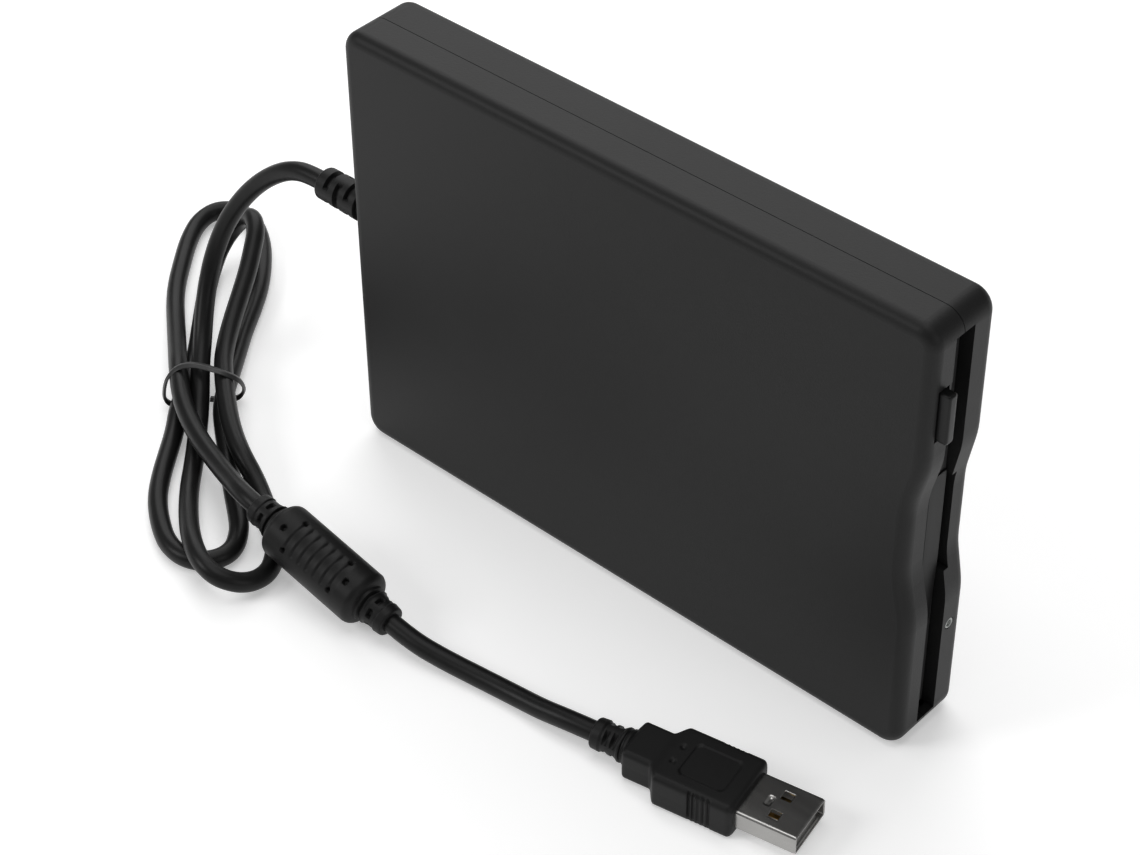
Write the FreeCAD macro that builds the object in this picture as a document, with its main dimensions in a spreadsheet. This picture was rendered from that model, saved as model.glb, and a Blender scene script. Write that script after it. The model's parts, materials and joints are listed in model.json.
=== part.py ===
import FreeCAD, Part
import Sketcher
import math
import os
import re

# An external 3.5 inch floppy disk drive that stands on one long edge.
# +X runs to the front end with the disk slot, -Y is the top cover's big face, +Z is up.
# The origin is the middle of the edge it stands on. Lengths are millimetres.

SIZES = {
    # Case: two shells that meet at a seam
    "case_length": 146.0,
    "case_height": 104.0,
    "case_depth": 18.4,
    "wall": 2.0,
    "seam_shift": 0.7,
    "seam_gap": 0.15,
    "corner_radius": 4.5,
    "edge_radius": 2.6,
    "tongue_height": 1.4,
    "tongue_thickness": 0.8,
    "tongue_gap": 0.15,
    "tongue_margin": 12.0,
    # Finger scoop across the front edge
    "scoop_low": 34.0,
    "scoop_high": 72.0,
    "scoop_ramp": 10.0,
    "scoop_near_depth": 2.4,
    "scoop_far_depth": 1.8,
    "scoop_blend": 22.0,
    "scoop_wall": 1.5,
    # Disk slot and the button's notch
    "slot_margin": 4.0,
    "slot_near": 3.1,
    "slot_far": 2.4,
    "lip_step": 1.4,
    "lip_step_low": 40.0,
    "lip_step_high": 64.0,
    "notch_top": 13.8,
    "notch_height": 11.7,
    "notch_face": 2.2,
    # Status light
    "light_height": 25.3,
    "light_offset": 4.7,
    "light_hole": 1.3,
    "light_gap": 0.1,
    "light_recess": 0.4,
    "light_length": 4.7,
    "light_slack": 0.1,
    # Case screws at the rear corners
    "screw_inset": 7.0,
    "screw_side": 9.0,
    "screw_radius": 0.9,
    "screw_head_radius": 1.9,
    "screw_head": 1.2,
    "screw_slack": 0.05,
    "head_slack": 0.2,
    "head_sink": 0.6,
    "boss_radius": 2.4,
    "boss_gap": 0.15,
    "boss_reach": 12.0,
    "screw_reach": 8.0,
    # Feet and the bare recess for a label on the far face
    "foot_radius": 4.0,
    "foot_thickness": 1.2,
    "foot_sink": 0.4,
    "foot_slack": 0.1,
    "foot_end": 15.0,
    "foot_side": 14.0,
    "label_length": 62.0,
    "label_height": 40.0,
    "label_sink": 0.3,
    # Drive frame: a tray with two side walls, and its lid
    "rear_bay": 16.0,
    "front_bay": 11.0,
    "arm_gap": 0.4,
    "arm_width": 2.0,
    "side_gap": 1.0,
    "side_thickness": 1.0,
    "post_height": 0.6,
    "post_radius": 2.5,
    "floor_thickness": 1.0,
    "lid_gap": 1.1,
    "lid_thickness": 0.5,
    "frame_screw_radius": 0.75,
    "frame_screw_head_radius": 1.6,
    "frame_screw_head": 1.0,
    "frame_screw_front": 7.0,
    "frame_screw_rear": 32.5,
    "frame_screw_side": 9.0,
    "frame_screw_bite": 1.4,
    # Slide plate with its flanges and cam slots
    "slide_gap": 0.4,
    "slide_thickness": 0.6,
    "slide_length": 77.0,
    "slide_front": 2.0,
    "slide_travel": 4.0,
    "flange_gap": 0.8,
    "flange_thickness": 0.5,
    "flange_depth": 8.0,
    "flange_setback": 3.0,
    "tab_rise": 2.5,
    "tab_height": 7.0,
    "tab_jog": 0.7,
    "tab_reach": 6.5,
    "tab_step": 0.5,
    "tab_slack": 0.1,
    # Eject button
    "button_height": 11.2,
    "button_inset": 0.25,
    "button_near_gap": 0.4,
    "button_depth": 2.25,
    "button_proud": 2.3,
    "button_length": 9.3,
    "button_radius": 0.7,
    # Disk holder on four pins
    "latch_gap": 0.4,
    "latch_thickness": 0.6,
    "holder_gap": 0.4,
    "holder_sheet": 0.5,
    "disk_room": 3.8,
    "holder_side_gap": 0.9,
    "holder_lip": 3.0,
    "holder_front": 1.0,
    "holder_length": 86.5,
    "holder_drop": 2.0,
    "holder_cut_height": 15.0,
    "holder_cut_gap": 0.7,
    "pin_radius": 0.8,
    "pin_front": 17.0,
    "pin_spacing": 55.0,
    "pin_down": 1.9,
    "pin_slack": 0.15,
    "pin_fit": 0.02,
    "pin_end": 0.1,
    # Latch lever that the disk pushes round
    "latch_behind": 3.0,
    "latch_side": 16.0,
    "latch_reach": 26.0,
    "latch_width": 3.0,
    "latch_angle": 27.5,
    "latch_sweep": 73.0,
    "latch_pin_radius": 0.8,
    "latch_pin_length": 3.2,
    "latch_slot_slack": 0.4,
    "latch_hub_radius": 2.2,
    "pivot_radius": 1.0,
    "pivot_slack": 0.05,
    "pivot_head_radius": 1.7,
    "pivot_head": 0.2,
    "pivot_head_gap": 0.1,
    "latch_spring_radius": 1.9,
    "latch_spring_bore": 1.3,
    "latch_spring_gap": 0.1,
    # Springs that push the slide out
    "spring_radius": 0.6,
    "spring_bore": 0.35,
    "spring_side": 12.0,
    "spring_rear": 31.0,
    "spring_length": 22.0,
    "spring_slack": 0.5,
    "hook_thickness": 0.8,
    # Dust door behind the slot, hung on two pins in the frame's arms
    "door_front": 2.8,
    "door_thickness": 0.9,
    "door_gap": 0.4,
    "door_far_gap": 0.3,
    "door_end_gap": 0.6,
    "door_axis_front": 3.6,
    "door_axis_room": 1.0,
    "door_ear": 1.0,
    "door_ear_radius": 0.95,
    "door_pin_radius": 0.55,
    "door_pin_slack": 0.05,
    "door_pin_end": 0.1,
    "door_spring_radius": 0.95,
    "door_spring_bore": 0.65,
    "door_spring_gap": 0.05,
    # Entry guide below the disk's path
    "guide_gap": 0.3,
    "guide_front_gap": 0.3,
    "guide_near": 2.9,
    "guide_end_gap": 0.6,
    # Spindle and its flat motor
    "head_rotor_gap": 3.2,
    "board_thickness": 0.6,
    "spindle_board_rear": 19.5,
    "spindle_board_gap": 2.0,
    "spindle_board_side": 4.0,
    "stator_outer": 16.5,
    "stator_inner": 6.0,
    "stator_thickness": 1.2,
    "rotor_gap": 0.3,
    "rotor_sheet": 0.5,
    "rotor_radius": 19.0,
    "rotor_skirt": 1.0,
    "hub_radius": 12.0,
    "hub_thickness": 0.8,
    "shaft_radius": 1.5,
    "shaft_nose": 0.9,
    "shaft_slack": 0.05,
    "shaft_end": 0.1,
    "bearing_radius": 3.0,
    "bearing_gap": 0.4,
    "bearing_fit": 0.02,
    "drive_pin_radius": 0.8,
    "drive_pin_throw": 10.0,
    "drive_pin_length": 0.6,
    # Head carriage, its rod and its lead screw
    "carriage_gap": 0.8,
    "carriage_length": 4.0,
    "carriage_low": 7.5,
    "carriage_high": 8.0,
    "tower_drop": 1.0,
    "carriage_far_gap": 0.4,
    "carriage_travel": 14.8,
    "carriage_arm_length": 26.5,
    "carriage_arm_height": 12.0,
    "carriage_arm_thickness": 1.7,
    "window_rear": 4.5,
    "window_front": 23.5,
    "window_low": 15.0,
    "window_high": 9.0,
    "rod_radius": 1.0,
    "rod_slack": 0.04,
    "rod_ring": 0.9,
    "rod_side": 10.0,
    "rod_room": 1.4,
    "rod_start": 2.0,
    "rod_end_gap": 3.0,
    "clamp_length": 2.0,
    "clamp_width": 4.0,
    "clamp_cap": 0.8,
    "screw_side_offset": 12.0,
    "lead_radius": 1.2,
    "lead_slack": 0.05,
    "follower_gap": 0.1,
    "follower_length": 2.0,
    "follower_width": 2.0,
    "motor_gap": 0.1,
    "motor_lid_gap": 0.7,
    "motor_length": 9.2,
    "motor_foot_length": 6.0,
    "motor_foot_width": 6.0,
    "motor_foot_height": 2.5,
    "motor_socket": 1.5,
    "block_length": 2.2,
    "block_width": 3.6,
    "block_gap": 0.8,
    "block_over": 0.6,
    "lead_end": 0.3,
    # Heads and the hinged upper arm
    "head_length": 3.0,
    "head_width": 5.0,
    "head_back": 1.5,
    "lower_head_height": 2.2,
    "upper_head_height": 1.3,
    "arm_thickness": 1.0,
    "arm_height": 11.4,
    "arm_knuckle": 0.8,
    "hinge_radius": 0.4,
    "hinge_slack": 0.05,
    "hinge_fit": 0.02,
    "lug_rise": 0.7,
    "lug_gap": 0.2,
    # Circuit boards and what they carry
    "drive_board_rear": 0.5,
    "drive_board_length": 27.0,
    "drive_board_side": 1.8,
    "drive_board_height": 28.2,
    "chip_size": 9.0,
    "chip_height": 1.3,
    "chip_pitch": 11.5,
    "chip_row": 11.75,
    "switch_size": 6.0,
    "switch_height": 1.4,
    "switch_front": 12.0,
    "switch_side": 16.0,
    "switch_board_gap": 9.5,
    "plunger_radius": 0.9,
    "plunger_slack": 0.05,
    "plunger_out": 1.2,
    "plunger_in": 0.5,
    "usb_board_rear": 0.6,
    "usb_board_length": 12.0,
    "usb_board_side": 7.0,
    "usb_board_thickness": 1.0,
    "usb_post": 1.2,
    "usb_post_radius": 2.0,
    "usb_post_inset": 2.5,
    "usb_chip_size": 7.0,
    "usb_chip_rise": 12.0,
    "usb_chip_lift": 17.0,
    "crystal_rise": 29.0,
    "crystal_radius": 1.7,
    "socket_length": 5.0,
    "socket_height": 8.0,
    "socket_near": 1.6,
    "socket_rear": 1.4,
    "ribbon_thickness": 0.3,
    "ribbon_height": 14.0,
    "ribbon_low": 18.5,
    "ribbon_plug_length": 2.5,
    "ribbon_plug_height": 1.8,
    "ribbon_rear": 8.4,
    "head_ribbon_width": 3.0,
    "head_ribbon_thickness": 0.15,
    "head_ribbon_rise": 3.0,
    "head_ribbon_plug": 3.0,
    # Strain relief where the cord leaves the rear end
    "exit_offset": 0.3,
    "exit_rise": 1.0,
    "exit_hole": 3.6,
    "exit_slack": 0.1,
    "exit_flange": 4.8,
    "exit_flange_thickness": 0.6,
    "relief_length": 18.0,
    "relief_base": 4.0,
    "relief_tip": 3.3,
    "collar_tip": 3.2,
    "relief_core": 0.78,
    "relief_groove": 0.6,
    "inner_lead_radius": 1.5,
    # Cord, hank and tie
    "cord_radius": 2.15,
    "hank_thickness": 8.6,
    "hank_rise": 14.6,
    "hank_rise_half": 24.0,
    "hank_rise_width": 8.2,
    "hank_lift": 13.0,
    "hank_lift_rear": -29.0,
    "hank_lift_front": -4.0,
    "hank_lift_width": 13.8,
    "hank_front_x": -14.3,
    "hank_front_half": 20.8,
    "hank_front_width": 15.4,
    "hank_back_x": -99.5,
    "hank_back_half": 28.3,
    "hank_back_width": 13.7,
    "hank_front_side": -90.4,
    "hank_back_side": -92.8,
    "hank_neck_side": -94.4,
    "hank_neck_width": 17.6,
    "hank_gap": 0.3,
    "tie_x": -60.8,
    "tie_width": 1.4,
    "tie_thickness": 1.1,
    "tie_loop": 5.0,
    "tie_tail": 7.0,
    "tie_twist": 1.3,
    # Ferrite sleeve on the cord
    "ferrite_radius": 6.1,
    "ferrite_length": 25.2,
    "ferrite_core_radius": 5.0,
    "ferrite_bore": 2.3,
    "ferrite_end": 1.5,
    "ferrite_relief": 7.0,
    "ferrite_x": -29.9,
    "ferrite_y": -52.2,
    "ferrite_z": 6.25,
    "ferrite_turn": -1.8,
    "ferrite_tilt": 9.7,
    "ferrite_chamfer": 0.8,
    # USB plug that lies flat
    "plug_x": 28.2,
    "plug_y": -46.8,
    "plug_turn": 10.6,
    "plug_thickness": 8.4,
    "plug_width": 15.5,
    "plug_grip_length": 17.0,
    "plug_neck_width": 10.0,
    "plug_neck_thickness": 7.6,
    "plug_neck_length": 9.0,
    "plug_relief": 8.0,
    "plug_round": 1.6,
    "plug_panel": 9.0,
    "plug_panel_width": 7.0,
    "plug_panel_sink": 0.3,
    "shell_width": 12.0,
    "shell_height": 4.5,
    "shell_length": 13.0,
    "shell_inside": 6.0,
    "shell_sheet": 0.3,
    "shell_hole": 2.2,
    "shell_hole_pitch": 5.2,
    "shell_hole_back": 5.6,
    "tongue_depth": 1.9,
    "plug_tongue_length": 11.2,
    "contact_start": 1.0,
    "contact_end": 0.3,
    "contact_width": 1.0,
    "contact_pitch": 2.3,
    "contact_height": 0.15,
}

# Points of the cord's centreline, in order from the drive to the plug.
LEAD_POINTS = [
    (-95.9, 0.3, 53.0),
    (-100.9, 0.1, 51.7),
    (-105.6, -0.4, 49.0),
    (-110.4, -1.5, 44.9),
    (-114.7, -3.3, 39.5),
    (-117.9, -5.6, 33.3),
    (-119.4, -8.4, 26.8),
    (-119.1, -11.8, 20.3),
    (-117.0, -15.5, 14.4),
    (-112.0, -21.4, 7.9),
]
TAIL_POINTS = [
    (-16.4, -52.5, 3.9),
    (-8.4, -51.2, 2.8),
    (0.4, -49.7, 2.3),
    (8.6, -48.7, 2.3),
    (15.6, -48.5, 3.1),
    (21.8, -48.0, 4.2),
]

doc = FreeCAD.newDocument("floppy_drive")
sheet = doc.addObject("Spreadsheet::Sheet", "Dims")
for row, (alias, value) in enumerate(SIZES.items(), start=1):
    sheet.set(f"A{row}", alias)
    sheet.set(f"B{row}", str(value))
    sheet.setAlias(f"B{row}", alias)
doc.recompute()
pieces = []


def size(alias):
    """A driving dimension as a number."""
    return float(sheet.get(alias))


def bound(formula):
    """A formula of the sheet's names, written so that an object's property can follow it."""
    return re.sub(r"[a-z][a-z_]*", lambda word: name_in_sheet(word.group()), str(formula))


def name_in_sheet(word):
    """The sheet's cell for a name, and any other word as it is."""
    return f"Dims.{word}" if word in SIZES else word


def plus(*terms):
    """The sum of some formulas."""
    return "(" + " + ".join(str(term) for term in terms) + ")"


def less(first, *rest):
    """The first formula less the others."""
    return "(" + " - ".join(f"({term})" for term in (first, *rest)) + ")"


def around(middle, width):
    """The low and high ends of a span about its middle."""
    return plus(middle, f"-({width}) / 2"), plus(middle, f"({width}) / 2")


def flipped(span):
    """The same span, measured down from the top instead of up from the bottom."""
    low, high = span
    return less("case_height", high), less("case_height", low)


def both_sides(span):
    """A span near the bottom edge and its mirror image near the top edge."""
    return [span, flipped(span)]


def block(x, y, z):
    """A box between two formulas on each axis."""
    box = doc.addObject("Part::Box", "Block")
    for axis, edge, (low, high) in zip("xyz", ("Length", "Width", "Height"), (x, y, z)):
        box.setExpression(f"Placement.Base.{axis}", bound(low))
        box.setExpression(edge, bound(less(high, low)))
    return box


TURNS = {
    "x": FreeCAD.Rotation(FreeCAD.Vector(0, 0, 1), FreeCAD.Vector(1, 0, 0)),
    "y": FreeCAD.Rotation(FreeCAD.Vector(0, 0, 1), FreeCAD.Vector(0, 1, 0)),
    "z": FreeCAD.Rotation(),
}


def along(solid, axis, centre, span):
    """Lays a round solid along an axis, with its centre on the other two axes, in their order."""
    solid.Placement = FreeCAD.Placement(FreeCAD.Vector(), TURNS[axis])
    others = [other for other in "xyz" if other != axis]
    solid.setExpression(f"Placement.Base.{axis}", bound(span[0]))
    for other, middle in zip(others, centre):
        solid.setExpression(f"Placement.Base.{other}", bound(middle))
    solid.setExpression("Height", bound(less(span[1], span[0])))
    return solid


def rod(axis, centre, span, radius):
    """A cylinder along an axis."""
    solid = doc.addObject("Part::Cylinder", "Rod")
    solid.setExpression("Radius", bound(radius))
    return along(solid, axis, centre, span)


def cone(axis, centre, span, start_radius, end_radius):
    """A frustum along an axis."""
    solid = doc.addObject("Part::Cone", "Cone")
    solid.setExpression("Radius1", bound(start_radius))
    solid.setExpression("Radius2", bound(end_radius))
    return along(solid, axis, centre, span)


def join(*solids):
    """One solid from several."""
    joined = doc.addObject("Part::MultiFuse", "Join")
    joined.Shapes = list(solids)
    joined.Refine = True
    return joined


def cut(base, *tools):
    """A solid with others taken away."""
    result = doc.addObject("Part::Cut", "Cut")
    result.Base = base
    result.Tool = tools[0] if len(tools) == 1 else join(*tools)
    return result


def group(*solids):
    """Several separate solids as one set."""
    together = doc.addObject("Part::Compound", "Set")
    together.Links = list(solids)
    return together


def tube(axis, centre, span, outer, inner):
    """A round sleeve."""
    return cut(rod(axis, centre, span, outer), rod(axis, centre, span, inner))


def piece(label, solid):
    """Names a finished piece."""
    solid.Label = label
    pieces.append(solid)
    return solid


def new_body(label):
    """A PartDesign body for one piece."""
    return doc.addObject("PartDesign::Body", label.title().replace("_", ""))


def outline(sketch, points):
    """A closed outline whose corners are each held at two formulas."""
    count = len(points)
    lines = [
        Part.LineSegment(FreeCAD.Vector(i, i * i, 0), FreeCAD.Vector(i + 1, (i + 1) ** 2, 0))
        for i in range(count)
    ]
    sketch.addGeometry(lines, False)
    for i in range(count):
        sketch.addConstraint(Sketcher.Constraint("Coincident", i, 2, (i + 1) % count, 1))
    for i, corner in enumerate(points):
        for kind, formula in zip(("DistanceX", "DistanceY"), corner):
            number = sketch.addConstraint(Sketcher.Constraint(kind, -1, 1, i, 1, 1.0))
            sketch.setExpression(f"Constraints[{number}]", bound(formula))


def disc(sketch, centre, radius):
    """A circle held by its centre and radius."""
    sketch.addGeometry(Part.Circle(FreeCAD.Vector(1, 1, 0), FreeCAD.Vector(0, 0, 1), 2.0), False)
    for kind, formula in zip(("DistanceX", "DistanceY"), centre):
        number = sketch.addConstraint(Sketcher.Constraint(kind, -1, 1, 0, 3, 1.0))
        sketch.setExpression(f"Constraints[{number}]", bound(formula))
    number = sketch.addConstraint(Sketcher.Constraint("Radius", 0, 2.0))
    sketch.setExpression(f"Constraints[{number}]", bound(radius))


def feature(body, kind, plane, span, draw):
    """A Pad or Pocket of a sketch parallel to an origin plane, over a span along its normal."""
    before = body.Tip.Shape.Volume if body.Tip else 0.0
    origin_plane = next(item for item in body.Origin.OriginFeatures if item.Role == plane)
    sketch = body.newObject("Sketcher::SketchObject", "Sketch")
    sketch.AttachmentSupport = (origin_plane, [""])
    sketch.MapMode = "FlatFace"
    normal_is_negative = plane == "XZ_Plane"
    starts_low = (kind == "Pad") != normal_is_negative
    start = span[0] if starts_low else span[1]
    sign = "-" if normal_is_negative else ""
    sketch.setExpression("AttachmentOffset.Base.z", bound(f"{sign}({start})"))
    draw(sketch)
    made = body.newObject(f"PartDesign::{kind}", kind)
    made.Profile = sketch
    made.setExpression("Length", bound(less(span[1], span[0])))
    doc.recompute()
    grown = body.Tip.Shape.Volume - before
    if (grown > 0) != (kind == "Pad"):
        raise ValueError(f"{body.Label}: a {kind} changed the volume by {grown:.3f}")
    return made


def rectangle(u, v):
    """A drawing of a rectangle between two formulas each way."""
    corners = [(u[0], v[0]), (u[1], v[0]), (u[1], v[1]), (u[0], v[1])]
    return lambda sketch: outline(sketch, corners)


def rounded(body, radius, chosen):
    """Fillets the edges of the body that a test picks."""
    base = body.Tip
    picked = [f"Edge{i}" for i, edge in enumerate(base.Shape.Edges, start=1) if chosen(edge)]
    fillet = body.newObject("PartDesign::Fillet", "Fillet")
    fillet.Base = (base, picked)
    fillet.setExpression("Radius", bound(radius))
    doc.recompute()
    if fillet.Shape.isNull():
        raise ValueError(f"{body.Label}: a fillet of {radius} on {len(picked)} edges failed")
    return fillet


def near(value, target):
    """Whether two lengths are the same within a hair."""
    return abs(value - target) < 0.001


# Planes that the pieces are placed from, as formulas
FRONT = "(case_length / 2)"
REAR = "(-case_length / 2)"
NEAR = "(-case_depth / 2)"
FAR = "(case_depth / 2)"
MID = "(case_height / 2)"
INSIDE_NEAR = plus(NEAR, "wall")
INSIDE_FAR = less(FAR, "wall")
INSIDE_FRONT = less(FRONT, "wall")
INSIDE_REAR = plus(REAR, "wall")
FRAME_REAR = plus(REAR, "rear_bay")
FRAME_FRONT = less(FRONT, "front_bay")
FLOOR_FAR = less(INSIDE_FAR, "post_height")
FLOOR_NEAR = less(FLOOR_FAR, "floor_thickness")
LID_NEAR = plus(INSIDE_NEAR, "lid_gap")
LID_FAR = plus(LID_NEAR, "lid_thickness")
SLIDE_NEAR = plus(LID_FAR, "slide_gap")
SLIDE_FAR = plus(SLIDE_NEAR, "slide_thickness")
LATCH_NEAR = plus(SLIDE_FAR, "latch_gap")
LATCH_FAR = plus(LATCH_NEAR, "latch_thickness")
HOLDER_NEAR = plus(LATCH_FAR, "holder_gap")
HOLDER_FAR = plus(HOLDER_NEAR, "holder_sheet")
LIP_NEAR = plus(HOLDER_FAR, "disk_room")
LIP_FAR = plus(LIP_NEAR, "holder_sheet")
SIDE_OUT = plus("wall", "side_gap")
SIDE_IN = plus(SIDE_OUT, "side_thickness")
FLANGE_OUT = plus(SIDE_IN, "flange_gap")
FLANGE_IN = plus(FLANGE_OUT, "flange_thickness")
HOLDER_SIDE = plus(FLANGE_IN, "holder_side_gap")
BOARD_NEAR = less(FLOOR_NEAR, "board_thickness")
ROTOR_FAR = less(BOARD_NEAR, "stator_thickness", "rotor_gap")
ROTOR_NEAR = less(ROTOR_FAR, "rotor_sheet")
HUB_NEAR = less(ROTOR_NEAR, "hub_thickness")
SLIDE_FRONT = less(FRAME_FRONT, "slide_front")
SLIDE_REAR = less(SLIDE_FRONT, "slide_length")
HOLDER_FRONT = less(FRAME_FRONT, "holder_front")
HOLDER_REAR = less(HOLDER_FRONT, "holder_length")
PIN_Y = less(LIP_NEAR, "pin_down")
PIN_X = [less(FRAME_FRONT, "pin_front"), less(FRAME_FRONT, "pin_front", "pin_spacing")]
DOOR_AXIS = (less(FRONT, "door_axis_front"), plus(LID_FAR, "door_axis_room"))
CORD_Y = "exit_offset"
CORD_Z = plus(MID, "exit_rise")
LATCH_Z = less("case_height", "latch_side")
LATCH_X = less(SLIDE_REAR, "latch_behind")
NOTCH_TOP = less("case_height", "notch_top")
NOTCH_LOW = less(NOTCH_TOP, "notch_height")
NOTCH_NEAR = plus(NEAR, "notch_face")
TAB_Z = (plus(NOTCH_LOW, "tab_rise"), plus(NOTCH_LOW, "tab_rise", "tab_height"))
ROD_Y = less(FLOOR_NEAR, "rod_room")
ROD_Z = less(MID, "rod_side")
MOTOR_Y = (plus(LID_FAR, "motor_lid_gap"), less(FLOOR_NEAR, "motor_gap"))
LEAD_Y = f"({MOTOR_Y[0]} + {MOTOR_Y[1]}) / 2"
MOTOR_RADIUS = f"({MOTOR_Y[1]} - {MOTOR_Y[0]}) / 2"
LEAD_Z = plus(MID, "screw_side_offset")
ARM_Y = HOLDER_FAR
TOWER_NEAR = plus(ARM_Y, "tower_drop")
CARRIAGE_REAR = plus(FRAME_REAR, "motor_length", "carriage_gap")
CARRIAGE_X = (CARRIAGE_REAR, plus(CARRIAGE_REAR, "carriage_length"))
CARRIAGE_FRONT = plus(CARRIAGE_X[1], "carriage_arm_length")
HEAD_X = (less(CARRIAGE_FRONT, "head_back", "head_length"), less(CARRIAGE_FRONT, "head_back"))
HINGE_X = plus(CARRIAGE_REAR, "carriage_length / 2")
SPINDLE_X = plus(CARRIAGE_FRONT, "carriage_travel", "head_rotor_gap", "rotor_radius")
DRIVE_BOARD_REAR = plus(FRAME_REAR, "drive_board_rear")
DRIVE_BOARD_FRONT = plus(DRIVE_BOARD_REAR, "drive_board_length")
LIP_SPAN = ("slot_margin", less("case_height", "slot_margin"))
SCREW_PLACES = [
    (plus(REAR, "screw_inset"), side) for side in ("screw_side", less("case_height", "screw_side"))
]
FRAME_SCREW_X = [
    less(FRAME_FRONT, "frame_screw_front"),
    plus(FRAME_REAR, "frame_screw_rear"),
]
FRAME_SCREWS = [
    (x, z)
    for x in FRAME_SCREW_X
    for z in (plus(SIDE_OUT, "frame_screw_side"), less("case_height", SIDE_OUT, "frame_screw_side"))
]
FEET = [
    (x, z)
    for x in (plus(REAR, "foot_end"), less(FRONT, "foot_end"))
    for z in ("foot_side", less("case_height", "foot_side"))
]


def shell(label, outer_face, seam, scoop_depth, slot_span):
    """Half of the case: a tray whose open side is at the seam."""
    body = new_body(label)
    toward_far = label == "bottom_cover"
    depth = (seam, outer_face) if toward_far else (outer_face, seam)
    inner_face = less(outer_face, "wall") if toward_far else plus(outer_face, "wall")
    cavity = (seam, inner_face) if toward_far else (inner_face, seam)
    feature(body, "Pad", "XZ_Plane", depth, rectangle((REAR, FRONT), ("0", "case_height")))

    scoop = less(FRONT, scoop_depth)
    beyond = plus(FRONT, "wall")
    corners = [
        (beyond, "scoop_low"),
        (FRONT, "scoop_low"),
        (scoop, plus("scoop_low", "scoop_ramp")),
        (scoop, less("scoop_high", "scoop_ramp")),
        (FRONT, "scoop_high"),
        (beyond, "scoop_high"),
    ]
    feature(body, "Pocket", "XZ_Plane", depth, lambda sketch: outline(sketch, corners))
    front = size("case_length") / 2
    height = size("case_height")

    def corner_edge(edge):
        """An edge through the thickness at one of the four corners of the shell."""
        middle = edge.BoundBox.Center
        return near(abs(middle.x), front) and (near(middle.z, 0) or near(middle.z, height))

    def scoop_edge(edge):
        """An edge through the thickness where the scoop bends."""
        box = edge.BoundBox
        inside = size("scoop_low") - 1 < box.Center.z < size("scoop_high") + 1
        return inside and box.XLength < 0.01 and box.ZLength < 0.01 and box.Center.x > 0

    def outer_edge(edge):
        """An edge round the big outer face."""
        face = size("case_depth") / 2 * (1 if toward_far else -1)
        return near(edge.BoundBox.YMin, face) and near(edge.BoundBox.YMax, face)

    rounded(body, "corner_radius", corner_edge)
    rounded(body, "scoop_blend", scoop_edge)
    rounded(body, "edge_radius", outer_edge)

    behind_scoop = less(FRONT, "scoop_near_depth", "scoop_wall")
    room = [
        (INSIDE_REAR, "wall"),
        (INSIDE_FRONT, "wall"),
        (INSIDE_FRONT, less("scoop_low", "scoop_wall")),
        (behind_scoop, less("scoop_low", "scoop_wall")),
        (behind_scoop, plus("scoop_high", "scoop_wall")),
        (INSIDE_FRONT, plus("scoop_high", "scoop_wall")),
        (INSIDE_FRONT, less("case_height", "wall")),
        (INSIDE_REAR, less("case_height", "wall")),
    ]
    feature(body, "Pocket", "XZ_Plane", cavity, lambda sketch: outline(sketch, room))
    through_front = (less(behind_scoop, "wall"), beyond)
    feature(body, "Pocket", "YZ_Plane", through_front, rectangle(slot_span, LIP_SPAN))
    through_rear = (less(REAR, "wall"), plus(INSIDE_REAR, "wall / 2"))
    exit_circle = plus("exit_hole", "exit_slack")
    feature(body, "Pocket", "YZ_Plane", through_rear,
            lambda sketch: disc(sketch, (CORD_Y, CORD_Z), exit_circle))
    return body


def bored(body, radius, span, place):
    """A round hole through the thickness of a shell."""
    return feature(body, "Pocket", "XZ_Plane", span, lambda sketch: disc(sketch, place, radius))


def studded(body, radius, span, place):
    """A round boss through the thickness of a shell."""
    return feature(body, "Pad", "XZ_Plane", span, lambda sketch: disc(sketch, place, radius))


def make_top_cover():
    """The near shell, with the button's notch and two bosses for the case screws."""
    seam = "(-seam_shift)"
    slot = ("(-slot_near)", seam)
    body = shell("top_cover", NEAR, seam, "scoop_near_depth", slot)
    notch = rectangle((NOTCH_NEAR, "(-slot_near)"), (NOTCH_LOW, NOTCH_TOP))
    feature(body, "Pocket", "YZ_Plane", (less(INSIDE_FRONT, "wall"), plus(FRONT, "wall")), notch)
    boss_end = plus(INSIDE_NEAR, "boss_reach")
    for place in SCREW_PLACES:
        studded(body, "boss_radius", (INSIDE_NEAR, boss_end), place)
        hole = (less(boss_end, "screw_reach"), boss_end)
        bored(body, plus("screw_radius", "screw_slack"), hole, place)
    return piece("top_cover", body)


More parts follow.
